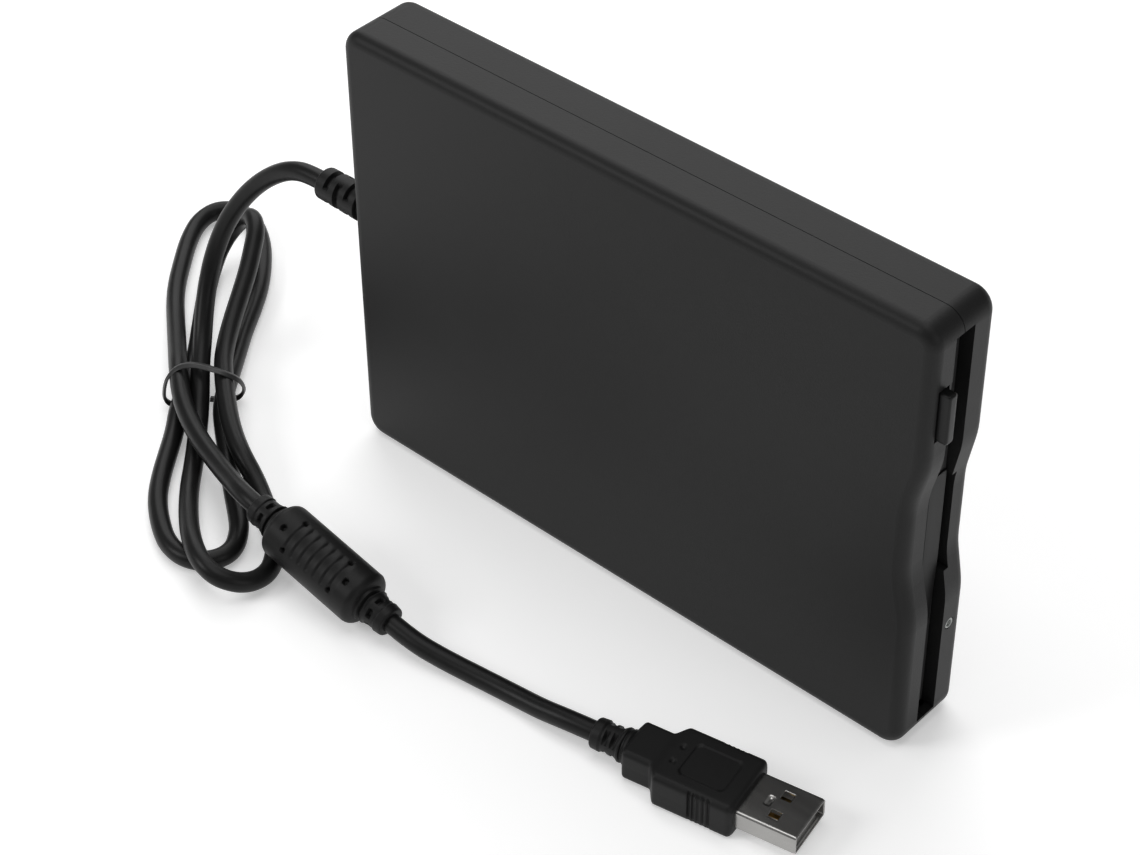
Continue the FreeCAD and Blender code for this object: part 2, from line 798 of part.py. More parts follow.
def make_bottom_cover():
    """The far shell, with seats for the feet, screws, drive frame and USB board."""
    seam = less("seam_gap", "seam_shift")
    body = shell("bottom_cover", FAR, seam, "scoop_far_depth", (seam, "slot_far"))
    step = rectangle(("slot_far", plus("slot_far", "lip_step")), ("lip_step_low", "lip_step_high"))
    feature(body, "Pocket", "YZ_Plane", (less(INSIDE_FRONT, "2 * wall"), plus(FRONT, "wall")), step)
    feature(body, "Pocket", "YZ_Plane", (less(INSIDE_FRONT, "wall / 2"), plus(FRONT, "wall")),
            lambda sketch: disc(sketch, ("light_offset", "light_height"), "light_hole"))
    boss_start = plus(INSIDE_NEAR, "boss_reach", "boss_gap")
    head_seat = less(FAR, "head_sink", "screw_head")
    for place in SCREW_PLACES:
        studded(body, plus("screw_head_radius", "wall / 2"), (boss_start, INSIDE_FAR), place)
        bored(body, plus("screw_radius", "screw_slack"), (boss_start, FAR), place)
        bored(body, plus("screw_head_radius", "head_slack"), (head_seat, FAR), place)
    bite = (FLOOR_FAR, plus(INSIDE_FAR, "frame_screw_bite"))
    for place in FRAME_SCREWS:
        studded(body, "post_radius", (FLOOR_FAR, INSIDE_FAR), place)
        bored(body, plus("frame_screw_radius", "screw_slack"), bite, place)
    for place in usb_posts():
        studded(body, "usb_post_radius", (less(INSIDE_FAR, "usb_post"), INSIDE_FAR), place)
    for place in FEET:
        bored(body, plus("foot_radius", "foot_slack"), (less(FAR, "foot_sink"), FAR), place)
    label = rectangle(around("0", "label_length"), around(MID, "label_height"))
    feature(body, "Pocket", "XZ_Plane", (less(FAR, "label_sink"), FAR), label)
    tongue_x = (plus(INSIDE_REAR, "tongue_margin"), less(INSIDE_FRONT, "tongue_margin"))
    tongue = plus("wall", "tongue_gap", "tongue_thickness")
    for z in both_sides(("wall", tongue)):
        feature(body, "Pad", "XZ_Plane", (seam, plus(seam, "tongue_height")), rectangle(tongue_x, z))
    for z in both_sides((plus("wall", "tongue_gap"), tongue)):
        span = (less("-seam_shift", "tongue_height"), seam)
        feature(body, "Pad", "XZ_Plane", span, rectangle(tongue_x, z))
    return piece("bottom_cover", body)


def usb_board_x():
    """The span of the USB board along the case."""
    rear = plus(INSIDE_REAR, "usb_board_rear")
    return rear, plus(rear, "usb_board_length")


def usb_board_z():
    """The span of the USB board up the case."""
    low = plus("screw_side", "usb_board_side")
    return low, less("case_height", low)


def usb_posts():
    """The places of the four posts under the USB board."""
    rear, front = usb_board_x()
    low, high = usb_board_z()
    return [
        (x, z)
        for x in (plus(rear, "usb_post_inset"), less(front, "usb_post_inset"))
        for z in (plus(low, "usb_post_inset"), less(high, "usb_post_inset"))
    ]


def make_feet():
    """Four round feet in shallow seats on the far face."""
    seat = less(FAR, "foot_sink")
    span = (seat, plus(seat, "foot_thickness"))
    piece("rubber_feet", group(*[rod("y", place, span, "foot_radius") for place in FEET]))


def make_case_screws():
    """Two screws from the far face into the top cover's bosses."""
    seat = less(FAR, "head_sink", "screw_head")
    tip = less(plus(INSIDE_NEAR, "boss_reach"), "screw_reach - screw_head")
    screws = []
    for place in SCREW_PLACES:
        head = rod("y", place, (seat, plus(seat, "screw_head")), "screw_head_radius")
        screws.append(join(head, rod("y", place, (tip, seat), "screw_radius")))
    piece("case_screws", group(*screws))


def make_frame():
    """The drive's tray, its lid and the screws that hold the tray to the bottom cover."""
    long = (FRAME_REAR, FRAME_FRONT)
    across = (SIDE_OUT, less("case_height", SIDE_OUT))
    floor = block(long, (FLOOR_NEAR, FLOOR_FAR), across)
    walls = [block(long, (LID_FAR, FLOOR_NEAR), z) for z in both_sides((SIDE_OUT, SIDE_IN))]
    arm_x = (FRAME_FRONT, less(FRONT, "arm_width", "arm_gap"))
    arm_y = (LID_FAR, plus(LID_FAR, "arm_width"))
    arms = [block(arm_x, arm_y, z) for z in both_sides((SIDE_OUT, SIDE_IN))]

    whole_height = ("0", "case_height")
    slot = plus("pin_radius", "pin_slack")
    slots = []
    for x in PIN_X:
        slots.append(block(around(x, f"2 * {slot}"), (PIN_Y, plus(PIN_Y, "holder_drop")), whole_height))
        for y in (PIN_Y, plus(PIN_Y, "holder_drop")):
            slots.append(rod("z", (x, y), whole_height, slot))
    door_holes = rod("z", DOOR_AXIS, whole_height, plus("door_pin_radius", "door_pin_slack"))
    floor_y = (FLOOR_NEAR, FLOOR_FAR)
    window_x = (plus(FRAME_REAR, "window_rear"), less(SPINDLE_X, "window_front"))
    window = block(window_x, floor_y, (less(MID, "window_low"), plus(MID, "window_high")))
    bearing = rod("y", (SPINDLE_X, MID), floor_y, plus("bearing_radius", "bearing_fit"))
    through = plus("frame_screw_radius", "screw_slack")
    holes = [rod("y", place, floor_y, through) for place in FRAME_SCREWS]
    piece("drive_chassis", cut(join(floor, *walls, *arms), *slots, door_holes, window, bearing, *holes))

    sheet_metal = block(long, (LID_NEAR, LID_FAR), across)
    hook_x = plus(SLIDE_REAR, "spring_rear", "spring_length")
    hook_y = (LID_FAR, plus(SLIDE_FAR, "spring_bore / 2"))
    hooks = [
        block((hook_x, plus(hook_x, "hook_thickness")), hook_y, around(z, "2 * spring_radius"))
        for z in spring_heights()
    ]
    piece("drive_lid", join(sheet_metal, *hooks))

    screws = []
    head_y = (less(FLOOR_NEAR, "frame_screw_head"), FLOOR_NEAR)
    tip = less(plus(INSIDE_FAR, "frame_screw_bite"), "head_slack")
    for place in FRAME_SCREWS:
        head = rod("y", place, head_y, "frame_screw_head_radius")
        screws.append(join(head, rod("y", place, (FLOOR_NEAR, tip), "frame_screw_radius")))
    piece("drive_screws", group(*screws))


def spring_heights():
    """The heights of the two slide springs."""
    low = plus(SIDE_IN, "spring_side")
    return low, less("case_height", low)


def make_slide():
    """The plate under the lid that the button belongs to, its flanges with cam slots, and its springs."""
    across = (FLANGE_OUT, less("case_height", FLANGE_OUT))
    y = (SLIDE_NEAR, SLIDE_FAR)
    plate = block((SLIDE_REAR, SLIDE_FRONT), y, across)
    flange_y = (SLIDE_NEAR, plus(SLIDE_NEAR, "flange_depth"))
    flange_x = (SLIDE_REAR, less(SLIDE_FRONT, "flange_setback"))
    flanges = [block(flange_x, flange_y, z) for z in both_sides((FLANGE_OUT, FLANGE_IN))]
    bend = plus(FRAME_FRONT, "tab_step")
    step = (bend, plus(bend, "slide_thickness"))
    raised = (less(SLIDE_NEAR, "tab_jog"), less(SLIDE_FAR, "tab_jog"))
    tab = [
        block((SLIDE_FRONT, step[1]), y, TAB_Z),
        block(step, (raised[0], SLIDE_FAR), TAB_Z),
        block((bend, plus(FRAME_FRONT, "tab_reach")), raised, TAB_Z),
    ]
    spring_x = (plus(SLIDE_REAR, "spring_rear"), plus(SLIDE_REAR, "spring_rear", "spring_length"))
    cuts = []
    for z in spring_heights():
        end = plus(spring_x[1], "hook_thickness", "spring_slack")
        cuts.append(block((spring_x[0], end), y, around(z, "2 * (spring_radius + spring_slack)")))
    for x in PIN_X:
        cuts.append(cam_slot(x))
    piece("slide_plate", cut(join(plate, *flanges, *tab), *cuts))

    middle = less(SLIDE_FAR, "slide_thickness / 2")
    springs = [tube("x", (middle, z), spring_x, "spring_radius", "spring_bore") for z in spring_heights()]
    piece("slide_springs", group(*springs))


def cam_slot(x):
    """The slanted slot that moves a pin down as the slide runs forward, one solid for both flanges."""
    whole_height = ("0", "case_height")
    radius = plus("pin_radius", "pin_slack")
    ends = [
        rod("z", (x, PIN_Y), whole_height, radius),
        rod("z", (less(x, "slide_travel"), plus(PIN_Y, "holder_drop")), whole_height, radius),
    ]
    slope = math.atan2(size("holder_drop"), -size("slide_travel"))
    bar = doc.addObject("Part::Box", "CamSlot")
    bar.setExpression("Length", bound("sqrt(slide_travel ^ 2 + holder_drop ^ 2)"))
    bar.setExpression("Width", bound(f"2 * {radius}"))
    bar.setExpression("Height", bound("case_height"))
    bar.Placement.Rotation = FreeCAD.Rotation(FreeCAD.Vector(0, 0, 1), math.degrees(slope))
    bar.setExpression("Placement.Base.x", bound(plus(x, f"{radius} * {math.sin(slope)}")))
    bar.setExpression("Placement.Base.y", bound(less(PIN_Y, f"{radius} * {math.cos(slope)}")))
    return join(bar, *ends)


def make_button():
    """The eject button, hollow where the slide's tab holds it."""
    low = plus(NOTCH_LOW, "button_inset")
    z = (low, plus(low, "button_height"))
    near_y = plus(NOTCH_NEAR, "button_near_gap")
    y = (near_y, plus(near_y, "button_depth"))
    nose = plus(FRONT, "button_proud")
    body = new_body("eject_button")
    feature(body, "Pad", "YZ_Plane", (less(nose, "button_length"), nose), rectangle(y, z))
    nose_x = size("case_length") / 2 + size("button_proud")
    rounded(body, "button_radius", lambda edge: edge.BoundBox.XLength > 1)
    rounded(body, "button_radius / 2", lambda edge: near(edge.BoundBox.XMin, nose_x))
    slack = "tab_slack"
    pocket_y = (less(SLIDE_NEAR, "tab_jog", slack), plus(less(SLIDE_FAR, "tab_jog"), slack))
    pocket_z = (less(TAB_Z[0], slack), plus(TAB_Z[1], slack))
    pocket_x = (less(nose, "button_length"), plus(FRAME_FRONT, "tab_reach", slack))
    feature(body, "Pocket", "YZ_Plane", pocket_x, rectangle(pocket_y, pocket_z))
    piece("eject_button", body)


def make_holder():
    """The disk holder: a sheet with two folded sides, and the four pins that carry it."""
    x = (HOLDER_REAR, HOLDER_FRONT)
    across = (HOLDER_SIDE, less("case_height", HOLDER_SIDE))
    top = block(x, (HOLDER_NEAR, HOLDER_FAR), across)
    sides = [
        block(x, (HOLDER_NEAR, LIP_FAR), z)
        for z in both_sides((HOLDER_SIDE, plus(HOLDER_SIDE, "holder_sheet")))
    ]
    lips = [
        block(x, (LIP_NEAR, LIP_FAR), z)
        for z in both_sides((HOLDER_SIDE, plus(HOLDER_SIDE, "holder_lip")))
    ]
    head_gap = block((HOLDER_REAR, plus(CARRIAGE_FRONT, "carriage_travel", "holder_cut_gap")),
                     (HOLDER_NEAR, HOLDER_FAR), around(MID, "holder_cut_height"))
    hole = plus("pin_radius", "pin_fit")
    holes = [rod("z", (x_pin, PIN_Y), ("0", "case_height"), hole) for x_pin in PIN_X]
    piece("disk_holder", cut(join(top, *sides, *lips), head_gap, latch_slot(), *holes))

    pins = []
    pin_z = (plus(SIDE_OUT, "pin_end"), plus(HOLDER_SIDE, "holder_sheet"))
    for x_pin in PIN_X:
        pins.extend(rod("z", (x_pin, PIN_Y), z, "pin_radius") for z in both_sides(pin_z))
    piece("holder_pins", group(*pins))


def latch_slot():
    """The curved slot in the holder that the latch's pin runs along."""
    width = size("latch_pin_radius") + size("latch_slot_slack")
    extra = math.degrees(2 * width / size("latch_reach"))
    rings = []
    for radius in (plus("latch_reach", width), less("latch_reach", width)):
        sector = rod("y", (LATCH_X, LATCH_Z), (HOLDER_NEAR, HOLDER_FAR), radius)
        sector.Angle = size("latch_sweep") + extra
        spin = FreeCAD.Rotation(FreeCAD.Vector(0, 1, 0), size("latch_angle") - extra / 2)
        local = FreeCAD.Rotation(FreeCAD.Vector(1, 0, 0), FreeCAD.Vector(0, 0, -1), FreeCAD.Vector(0, 1, 0))
        sector.Placement.Rotation = spin.multiply(local)
        rings.append(sector)
    return cut(*rings)


def make_latch():
    """The lever that holds the slide back until a disk turns it, with its pivot and spring."""
    hub = doc.addObject("Part::Cylinder", "LatchHub")
    hub.setExpression("Radius", bound("latch_hub_radius"))
    hub.setExpression("Height", bound("latch_thickness"))
    bar = doc.addObject("Part::Box", "LatchBar")
    bar.setExpression("Length", bound("latch_reach"))
    bar.setExpression("Width", bound("latch_width"))
    bar.setExpression("Height", bound("latch_thickness"))
    bar.setExpression("Placement.Base.y", bound("-latch_width / 2"))
    tip = doc.addObject("Part::Cylinder", "LatchTip")
    tip.setExpression("Radius", bound("latch_width / 2"))
    tip.setExpression("Height", bound("latch_thickness"))
    tip.setExpression("Placement.Base.x", bound("latch_reach"))
    pin = doc.addObject("Part::Cylinder", "LatchPin")
    pin.setExpression("Radius", bound("latch_pin_radius"))
    pin.setExpression("Height", bound("latch_pin_length + latch_thickness"))
    pin.setExpression("Placement.Base.x", bound("latch_reach"))
    bore = doc.addObject("Part::Cylinder", "LatchBore")
    bore.setExpression("Radius", bound("pivot_radius + pivot_slack"))
    bore.setExpression("Height", bound("latch_thickness"))
    lever = cut(join(hub, bar, tip, pin), bore)
    local = FreeCAD.Rotation(FreeCAD.Vector(1, 0, 0), FreeCAD.Vector(0, 0, -1), FreeCAD.Vector(0, 1, 0))
    spin = FreeCAD.Rotation(FreeCAD.Vector(0, 1, 0), size("latch_angle"))
    lever.Placement = FreeCAD.Placement(FreeCAD.Vector(), spin.multiply(local))
    lever.setExpression("Placement.Base.x", bound(LATCH_X))
    lever.setExpression("Placement.Base.y", bound(LATCH_NEAR))
    lever.setExpression("Placement.Base.z", bound(LATCH_Z))
    piece("latch_lever", lever)

    place = (LATCH_X, LATCH_Z)
    head_y = plus(LATCH_FAR, "pivot_head_gap")
    post = rod("y", place, (LID_FAR, head_y), "pivot_radius")
    head = rod("y", place, (head_y, plus(head_y, "pivot_head")), "pivot_head_radius")
    piece("latch_pivot", join(post, head))
    gap = "latch_spring_gap"
    piece("latch_spring", tube("y", place, (plus(LID_FAR, gap), less(LATCH_NEAR, gap)),
                               "latch_spring_radius", "latch_spring_bore"))


def make_door():
    """The flap behind the slot, its two ears with pins, and the spring round one pin."""
    ends = (plus("slot_margin", "door_end_gap"), less("case_height", "slot_margin", "door_end_gap"))
    front = less(FRONT, "door_front")
    x = (less(front, "door_thickness"), front)
    near_y = less("door_gap", "slot_near")
    flap = block(x, (near_y, less("slot_far", "door_far_gap")), ends)
    ear_z = (ends[0], plus(ends[0], "door_ear"))
    ears = [block(x, (DOOR_AXIS[1], near_y), z) for z in both_sides(ear_z)]
    hubs = [rod("z", DOOR_AXIS, z, "door_ear_radius") for z in both_sides(ear_z)]
    pin_z = (plus(SIDE_OUT, "door_pin_end"), plus(ends[0], "door_ear"))
    pins = [rod("z", DOOR_AXIS, z, "door_pin_radius") for z in both_sides(pin_z)]
    piece("dust_door", join(flap, *ears, *hubs, *pins))
    gap = "door_spring_gap"
    piece("door_spring", tube("z", DOOR_AXIS, (plus(SIDE_IN, gap), less(ends[0], gap)),
                              "door_spring_radius", "door_spring_bore"))


def make_entry():
    """The guide below the disk's path, and the status light it holds behind its lens."""
    behind_scoop = less(FRONT, "scoop_near_depth", "scoop_wall")
    x = (plus(FRAME_FRONT, "guide_gap"), less(behind_scoop, "guide_front_gap"))
    z = (plus("slot_margin", "guide_end_gap"), less("case_height", "slot_margin", "guide_end_gap"))
    rail = block(x, ("guide_near", INSIDE_FAR), z)
    place = ("light_offset", "light_height")
    pocket = rod("x", place, x, plus("light_hole", "light_slack"))
    piece("entry_guide", cut(rail, pocket))
    led_radius = less("light_hole", "light_gap")
    lens_x = (x[1], less(FRONT, "light_recess"))
    piece("led_lens", rod("x", place, lens_x, led_radius))
    piece("status_led", rod("x", place, (less(x[1], "light_length"), x[1]), "light_hole"))


def make_spindle():
    """The flat motor that turns the disk."""
    place = (SPINDLE_X, MID)
    board_x = (less(SPINDLE_X, "spindle_board_rear"), less(FRAME_FRONT, "spindle_board_gap"))
    board_low = plus(SIDE_OUT, "frame_screw_side", "spindle_board_side")
    board_z = (board_low, less("case_height", board_low))
    board = block(board_x, (BOARD_NEAR, FLOOR_NEAR), board_z)
    bearing_y = (plus(ROTOR_FAR, "bearing_gap"), FLOOR_FAR)
    fit = plus("bearing_radius", "bearing_fit")
    piece("spindle_board", cut(board, rod("y", place, (BOARD_NEAR, FLOOR_NEAR), fit)))
    stator_y = (less(BOARD_NEAR, "stator_thickness"), BOARD_NEAR)
    piece("stator", tube("y", place, stator_y, "stator_outer", "stator_inner"))
    shaft_fit = plus("shaft_radius", "shaft_slack")
    piece("spindle_bearing", tube("y", place, bearing_y, "bearing_radius", shaft_fit))
    top = tube("y", place, (ROTOR_NEAR, ROTOR_FAR), "rotor_radius", "shaft_radius")
    skirt_y = (ROTOR_FAR, less(BOARD_NEAR, "rotor_gap"))
    skirt = tube("y", place, skirt_y, "rotor_radius", "rotor_radius - rotor_skirt")
    piece("rotor", join(top, skirt))
    hub_y = (HUB_NEAR, ROTOR_NEAR)
    piece("spindle_hub", tube("y", place, hub_y, "hub_radius", "shaft_radius"))
    shaft_y = (less(HUB_NEAR, "shaft_nose"), less(FLOOR_FAR, "shaft_end"))
    piece("spindle_shaft", rod("y", place, shaft_y, "shaft_radius"))
    pin_place = (plus(SPINDLE_X, "drive_pin_throw"), MID)
    pin_y = (less(HUB_NEAR, "drive_pin_length"), HUB_NEAR)
    piece("drive_pin", rod("y", pin_place, pin_y, "drive_pin_radius"))


def make_carriage():
    """The head carriage on its rod, driven by the stepper motor's screw."""
    far = less(FLOOR_NEAR, "carriage_far_gap")
    z = (less(MID, "carriage_low"), plus(MID, "carriage_high"))
    tower = block(CARRIAGE_X, (TOWER_NEAR, far), z)
    arm_z = around(MID, "carriage_arm_height")
    lower_top = less(far, "carriage_arm_thickness")
    lower_arm = block((CARRIAGE_X[1], CARRIAGE_FRONT), (lower_top, far), arm_z)
    rod_place = (ROD_Y, ROD_Z)
    ring = rod("x", rod_place, CARRIAGE_X, plus("rod_radius", "rod_slack", "rod_ring"))
    bridge = block(CARRIAGE_X, (less(ROD_Y, "rod_radius"), far), (ROD_Z, z[0]))
    rod_bore = rod("x", rod_place, CARRIAGE_X, plus("rod_radius", "rod_slack"))
    lug_y = (less(ARM_Y, "lug_rise"), TOWER_NEAR)
    arm_ends = around(MID, "arm_height + 2 * lug_gap")
    lugs = [block(CARRIAGE_X, lug_y, span) for span in ((z[0], arm_ends[0]), (arm_ends[1], z[1]))]
    pin_place = (HINGE_X, ARM_Y)
    pin_hole = rod("z", pin_place, z, plus("hinge_radius", "hinge_fit"))
    follower_z = (z[1], less(LEAD_Z, "lead_radius", "follower_gap"))
    follower_y = around(LEAD_Y, "follower_width")
    follower = block(around(HINGE_X, "follower_length"), follower_y, follower_z)
    solid = join(tower, lower_arm, ring, bridge, *lugs, follower)
    piece("head_carriage", cut(solid, rod_bore, pin_hole))
    piece("arm_hinge_pin", rod("z", pin_place, z, "hinge_radius"))

    head_z = around(MID, "head_width")
    piece("lower_head", block(HEAD_X, (less(lower_top, "lower_head_height"), lower_top), head_z))
    arm_y = around(ARM_Y, "arm_thickness")
    arm_height = around(MID, "arm_height")
    arm = join(block((HINGE_X, CARRIAGE_FRONT), arm_y, arm_height),
               rod("z", pin_place, arm_height, "arm_knuckle"))
    hinge_bore = rod("z", pin_place, arm_height, plus("hinge_radius", "hinge_slack"))
    piece("upper_head_arm", cut(arm, hinge_bore))
    piece("upper_head", block(HEAD_X, (arm_y[1], plus(arm_y[1], "upper_head_height")), head_z))


def make_rail():
    """The guide rod and its two clamps on the frame's floor."""
    start = plus(FRAME_REAR, "rod_start")
    end = less(SPINDLE_X, "spindle_board_rear", "rod_end_gap")
    place = (ROD_Y, ROD_Z)
    piece("guide_rod", rod("x", place, (start, end), "rod_radius"))
    clamps = []
    clamp_y = (less(ROD_Y, "rod_radius", "clamp_cap"), FLOOR_NEAR)
    for x in ((start, plus(start, "clamp_length")), (less(end, "clamp_length"), end)):
        clamp = block(x, clamp_y, around(ROD_Z, "clamp_width"))
        clamps.append(cut(clamp, rod("x", place, x, "rod_radius")))
    piece("rod_clamps", group(*clamps))


def make_stepper():
    """The stepper motor, its lead screw and the block that holds the screw's far end."""
    place = (LEAD_Y, LEAD_Z)
    motor_x = (FRAME_REAR, plus(FRAME_REAR, "motor_length"))
    can = rod("x", place, motor_x, MOTOR_RADIUS)
    foot_x = around(plus(FRAME_REAR, "motor_length / 2"), "motor_foot_length")
    foot_y = (less(FLOOR_NEAR, "motor_foot_height"), FLOOR_NEAR)
    foot = block(foot_x, foot_y, around(LEAD_Z, "motor_foot_width"))
    socket_x = (less(motor_x[1], "motor_socket"), motor_x[1])
    fit = plus("lead_radius", "lead_slack")
    piece("stepper_motor", cut(join(can, foot), rod("x", place, socket_x, fit)))
    block_rear = plus(HINGE_X, "carriage_travel", "follower_length / 2", "block_gap")
    block_x = (block_rear, plus(block_rear, "block_length"))
    lead_x = (less(motor_x[1], "motor_socket - lead_slack"), less(block_x[1], "lead_end"))
    piece("lead_screw", rod("x", place, lead_x, "lead_radius"))
    block_y = (less(LEAD_Y, "lead_radius", "block_over"), FLOOR_NEAR)
    holder = block(block_x, block_y, around(LEAD_Z, "block_width"))
    piece("screw_bearing", cut(holder, rod("x", place, block_x, fit)))


def make_drive_board():
    """The drive's circuit board with its chips, and the flexible strip to the heads."""
    low = plus(SIDE_OUT, "drive_board_side")
    z = (low, plus(low, "drive_board_height"))
    piece("drive_board", block((DRIVE_BOARD_REAR, DRIVE_BOARD_FRONT), (BOARD_NEAR, FLOOR_NEAR), z))
    chip_y = (less(BOARD_NEAR, "chip_height"), BOARD_NEAR)
    chip_z = around(plus(low, "chip_row"), "chip_size")
    chips = []
    for i in (1, 2):
        middle = less(DRIVE_BOARD_FRONT, f"chip_pitch * {i} - chip_size / 2")
        chips.append(block(around(middle, "chip_size"), chip_y, chip_z))
    piece("board_chips", group(*chips))

    strip_x = around(HINGE_X, "head_ribbon_width")
    plug_z = (less(z[1], "head_ribbon_plug"), z[1])
    strip_near = less(BOARD_NEAR, "head_ribbon_rise")
    strip_y = (strip_near, plus(strip_near, "head_ribbon_thickness"))
    strip = block(strip_x, strip_y, (plug_z[0], less(MID, "carriage_low")))
    plug = block(strip_x, (strip_y[1], BOARD_NEAR), plug_z)
    piece("head_ribbon", join(strip, plug))


def make_switches():
    """Three small switches that feel the disk, and their plungers."""
    places = [
        (less(FRAME_FRONT, "switch_front"), plus(SIDE_IN, "switch_side")),
        (less(FRAME_FRONT, "switch_front"), less("case_height", SIDE_IN, "switch_side")),
        (plus(DRIVE_BOARD_FRONT, "switch_board_gap"), plus(SIDE_IN, "switch_side")),
    ]
    seats = [BOARD_NEAR, BOARD_NEAR, FLOOR_NEAR]
    names = ["protect_plunger", "density_plunger", "disk_plunger"]
    cases = []
    for place, seat, name in zip(places, seats, names):
        top = less(BOARD_NEAR, "switch_height")
        case = block(around(place[0], "switch_size"), (top, seat), around(place[1], "switch_size"))
        bore = rod("y", place, (top, seat), plus("plunger_radius", "plunger_slack"))
        cases.append(cut(case, bore))
        piece(name, rod("y", place, (less(top, "plunger_out"), plus(top, "plunger_in")), "plunger_radius"))
    piece("disk_switches", group(*cases))


def make_usb_board():
    """The board that joins the drive to the cord, with its chips, socket, crystal and ribbon."""
    x = usb_board_x()
    board_far = less(INSIDE_FAR, "usb_post")
    board_near = less(board_far, "usb_board_thickness")
    piece("usb_board", block(x, (board_near, board_far), usb_board_z()))
    chip_y = (less(board_near, "chip_height"), board_near)
    middle = plus(x[0], "usb_board_length / 2")
    chips = [
        block(around(middle, "usb_chip_size"), chip_y, around(height, "usb_chip_size"))
        for height in (less(MID, "usb_chip_rise"), plus(MID, "usb_chip_lift"))
    ]
    crystal = rod("y", (middle, plus(MID, "crystal_rise")), chip_y, "crystal_radius")
    piece("usb_chips", group(*chips, crystal))
    socket_x = (plus(INSIDE_REAR, "socket_rear"), plus(INSIDE_REAR, "socket_rear", "socket_length"))
    socket_y = ("(-socket_near)", board_near)
    piece("cable_socket", block(socket_x, socket_y, around(CORD_Z, "socket_height")))
    lead_x = (plus(INSIDE_REAR, "exit_flange_thickness"), socket_x[0])
    piece("inner_lead", rod("x", (CORD_Y, CORD_Z), lead_x, "inner_lead_radius"))

    ribbon_z = ("ribbon_low", plus("ribbon_low", "ribbon_height"))
    plug_y = (less(board_near, "ribbon_plug_height"), board_near)
    rear = plus(INSIDE_REAR, "usb_board_rear", "ribbon_rear")
    front_plug = plus(DRIVE_BOARD_REAR, "drive_board_rear")
    plugs = [
        block((rear, plus(rear, "ribbon_plug_length")), plug_y, ribbon_z),
        block((front_plug, plus(front_plug, "ribbon_plug_length")),
              (plug_y[0], BOARD_NEAR), ribbon_z),
    ]
    ribbon_y = (less(plug_y[0], "ribbon_thickness"), plug_y[0])
    ribbon = block((rear, plus(front_plug, "ribbon_plug_length")), ribbon_y, ribbon_z)
    piece("ribbon_cable", join(ribbon, *plugs))


def relief(count, start_radius, end_radius, length, placed):
    """A ribbed, tapering strain relief along +X from the origin, then placed.

    Grooves halve its skin into rings; the last ring is a plain collar.
    """
    axis = ("0", "0")
    thin = [f"relief_core * {radius}" for radius in (start_radius, end_radius)]
    core = cone("x", axis, ("0", length), *thin)
    radii = [
        f"({start_radius} + ({end_radius} - {start_radius}) * {i} / {count})"
        for i in range(count + 1)
    ]
    rings = []
    for i in range(count):
        start = f"{length} * {i} / {count}"
        groove = "relief_groove" if i < count - 1 else "0"
        end = less(f"{length} * {i + 1} / {count}", groove)
        rings.append(cone("x", axis, (start, end), radii[i], radii[i + 1]))
    whole = join(core, *rings)
    whole.Placement = placed
    return whole


def placed_at(point, rotation):
    """A placement from a point and a rotation."""
    return FreeCAD.Placement(FreeCAD.Vector(*point), rotation)


def half_turn():
    """A rotation that points +X to -X."""
    return FreeCAD.Rotation(FreeCAD.Vector(0, 0, 1), 180)


def make_exit():
    """The strain relief in the rear wall: a flange inside, a neck in the wall and a ribbed sleeve."""
    exit_height = size("case_height") / 2 + size("exit_rise")
    exit_point = (-size("case_length") / 2, size("exit_offset"), exit_height)
    sleeve = relief(5, "relief_base", "relief_tip", "relief_length", placed_at(exit_point, half_turn()))
    place = (CORD_Y, CORD_Z)
    neck = rod("x", place, (REAR, INSIDE_REAR), "exit_hole")
    flange = rod("x", place, (INSIDE_REAR, plus(INSIDE_REAR, "exit_flange_thickness")), "exit_flange")
    piece("cable_grommet", join(sleeve, neck, flange))


def cord_wire(points):
    """Straight runs joined by tangent arcs, each as large as its two runs allow, and the arcs' radii."""
    corners = [FreeCAD.Vector(*point) for point in points]
    edges, radii = [], []
    start = corners[0]
    for before, corner, after in zip(corners, corners[1:], corners[2:]):
        back, ahead = before - corner, after - corner
        reach = 0.45 * min(back.Length, ahead.Length)
        turn = math.pi - back.getAngle(ahead)
        back.normalize()
        ahead.normalize()
        radii.append(reach / math.tan(turn / 2))
        bisector = (back + ahead).normalize()
        depth = radii[-1] / math.cos(turn / 2) - radii[-1]
        first, middle, last = corner + back * reach, corner + bisector * depth, corner + ahead * reach
        edges.append(Part.LineSegment(start, first).toShape())
        edges.append(Part.Arc(first, middle, last).toShape())
        start = last
    edges.append(Part.LineSegment(start, corners[-1]).toShape())
    return Part.Wire(edges), radii


def make_cord_tube(label, points):
    """A plain tube of the cord's radius along its route."""
    path, radii = cord_wire(points)
    direction = FreeCAD.Vector(*points[1]) - FreeCAD.Vector(*points[0])
    circle = Part.Wire([Part.makeCircle(size("cord_radius"), FreeCAD.Vector(*points[0]), direction)])
    solid = path.makePipeShell([circle], True, False)
    expected = math.pi * size("cord_radius") ** 2 * path.Length
    print(f"{label}: length {path.Length:.1f}, radii {[round(radius, 1) for radius in radii]}")
    if abs(solid.Volume - expected) > 0.01 * expected:
        raise ValueError(f"{label}: volume {solid.Volume:.1f} where {expected:.1f} is expected")
    tube_piece = doc.addObject("Part::Feature", "CordTube")
    tube_piece.Shape = solid
    return piece(label, tube_piece)


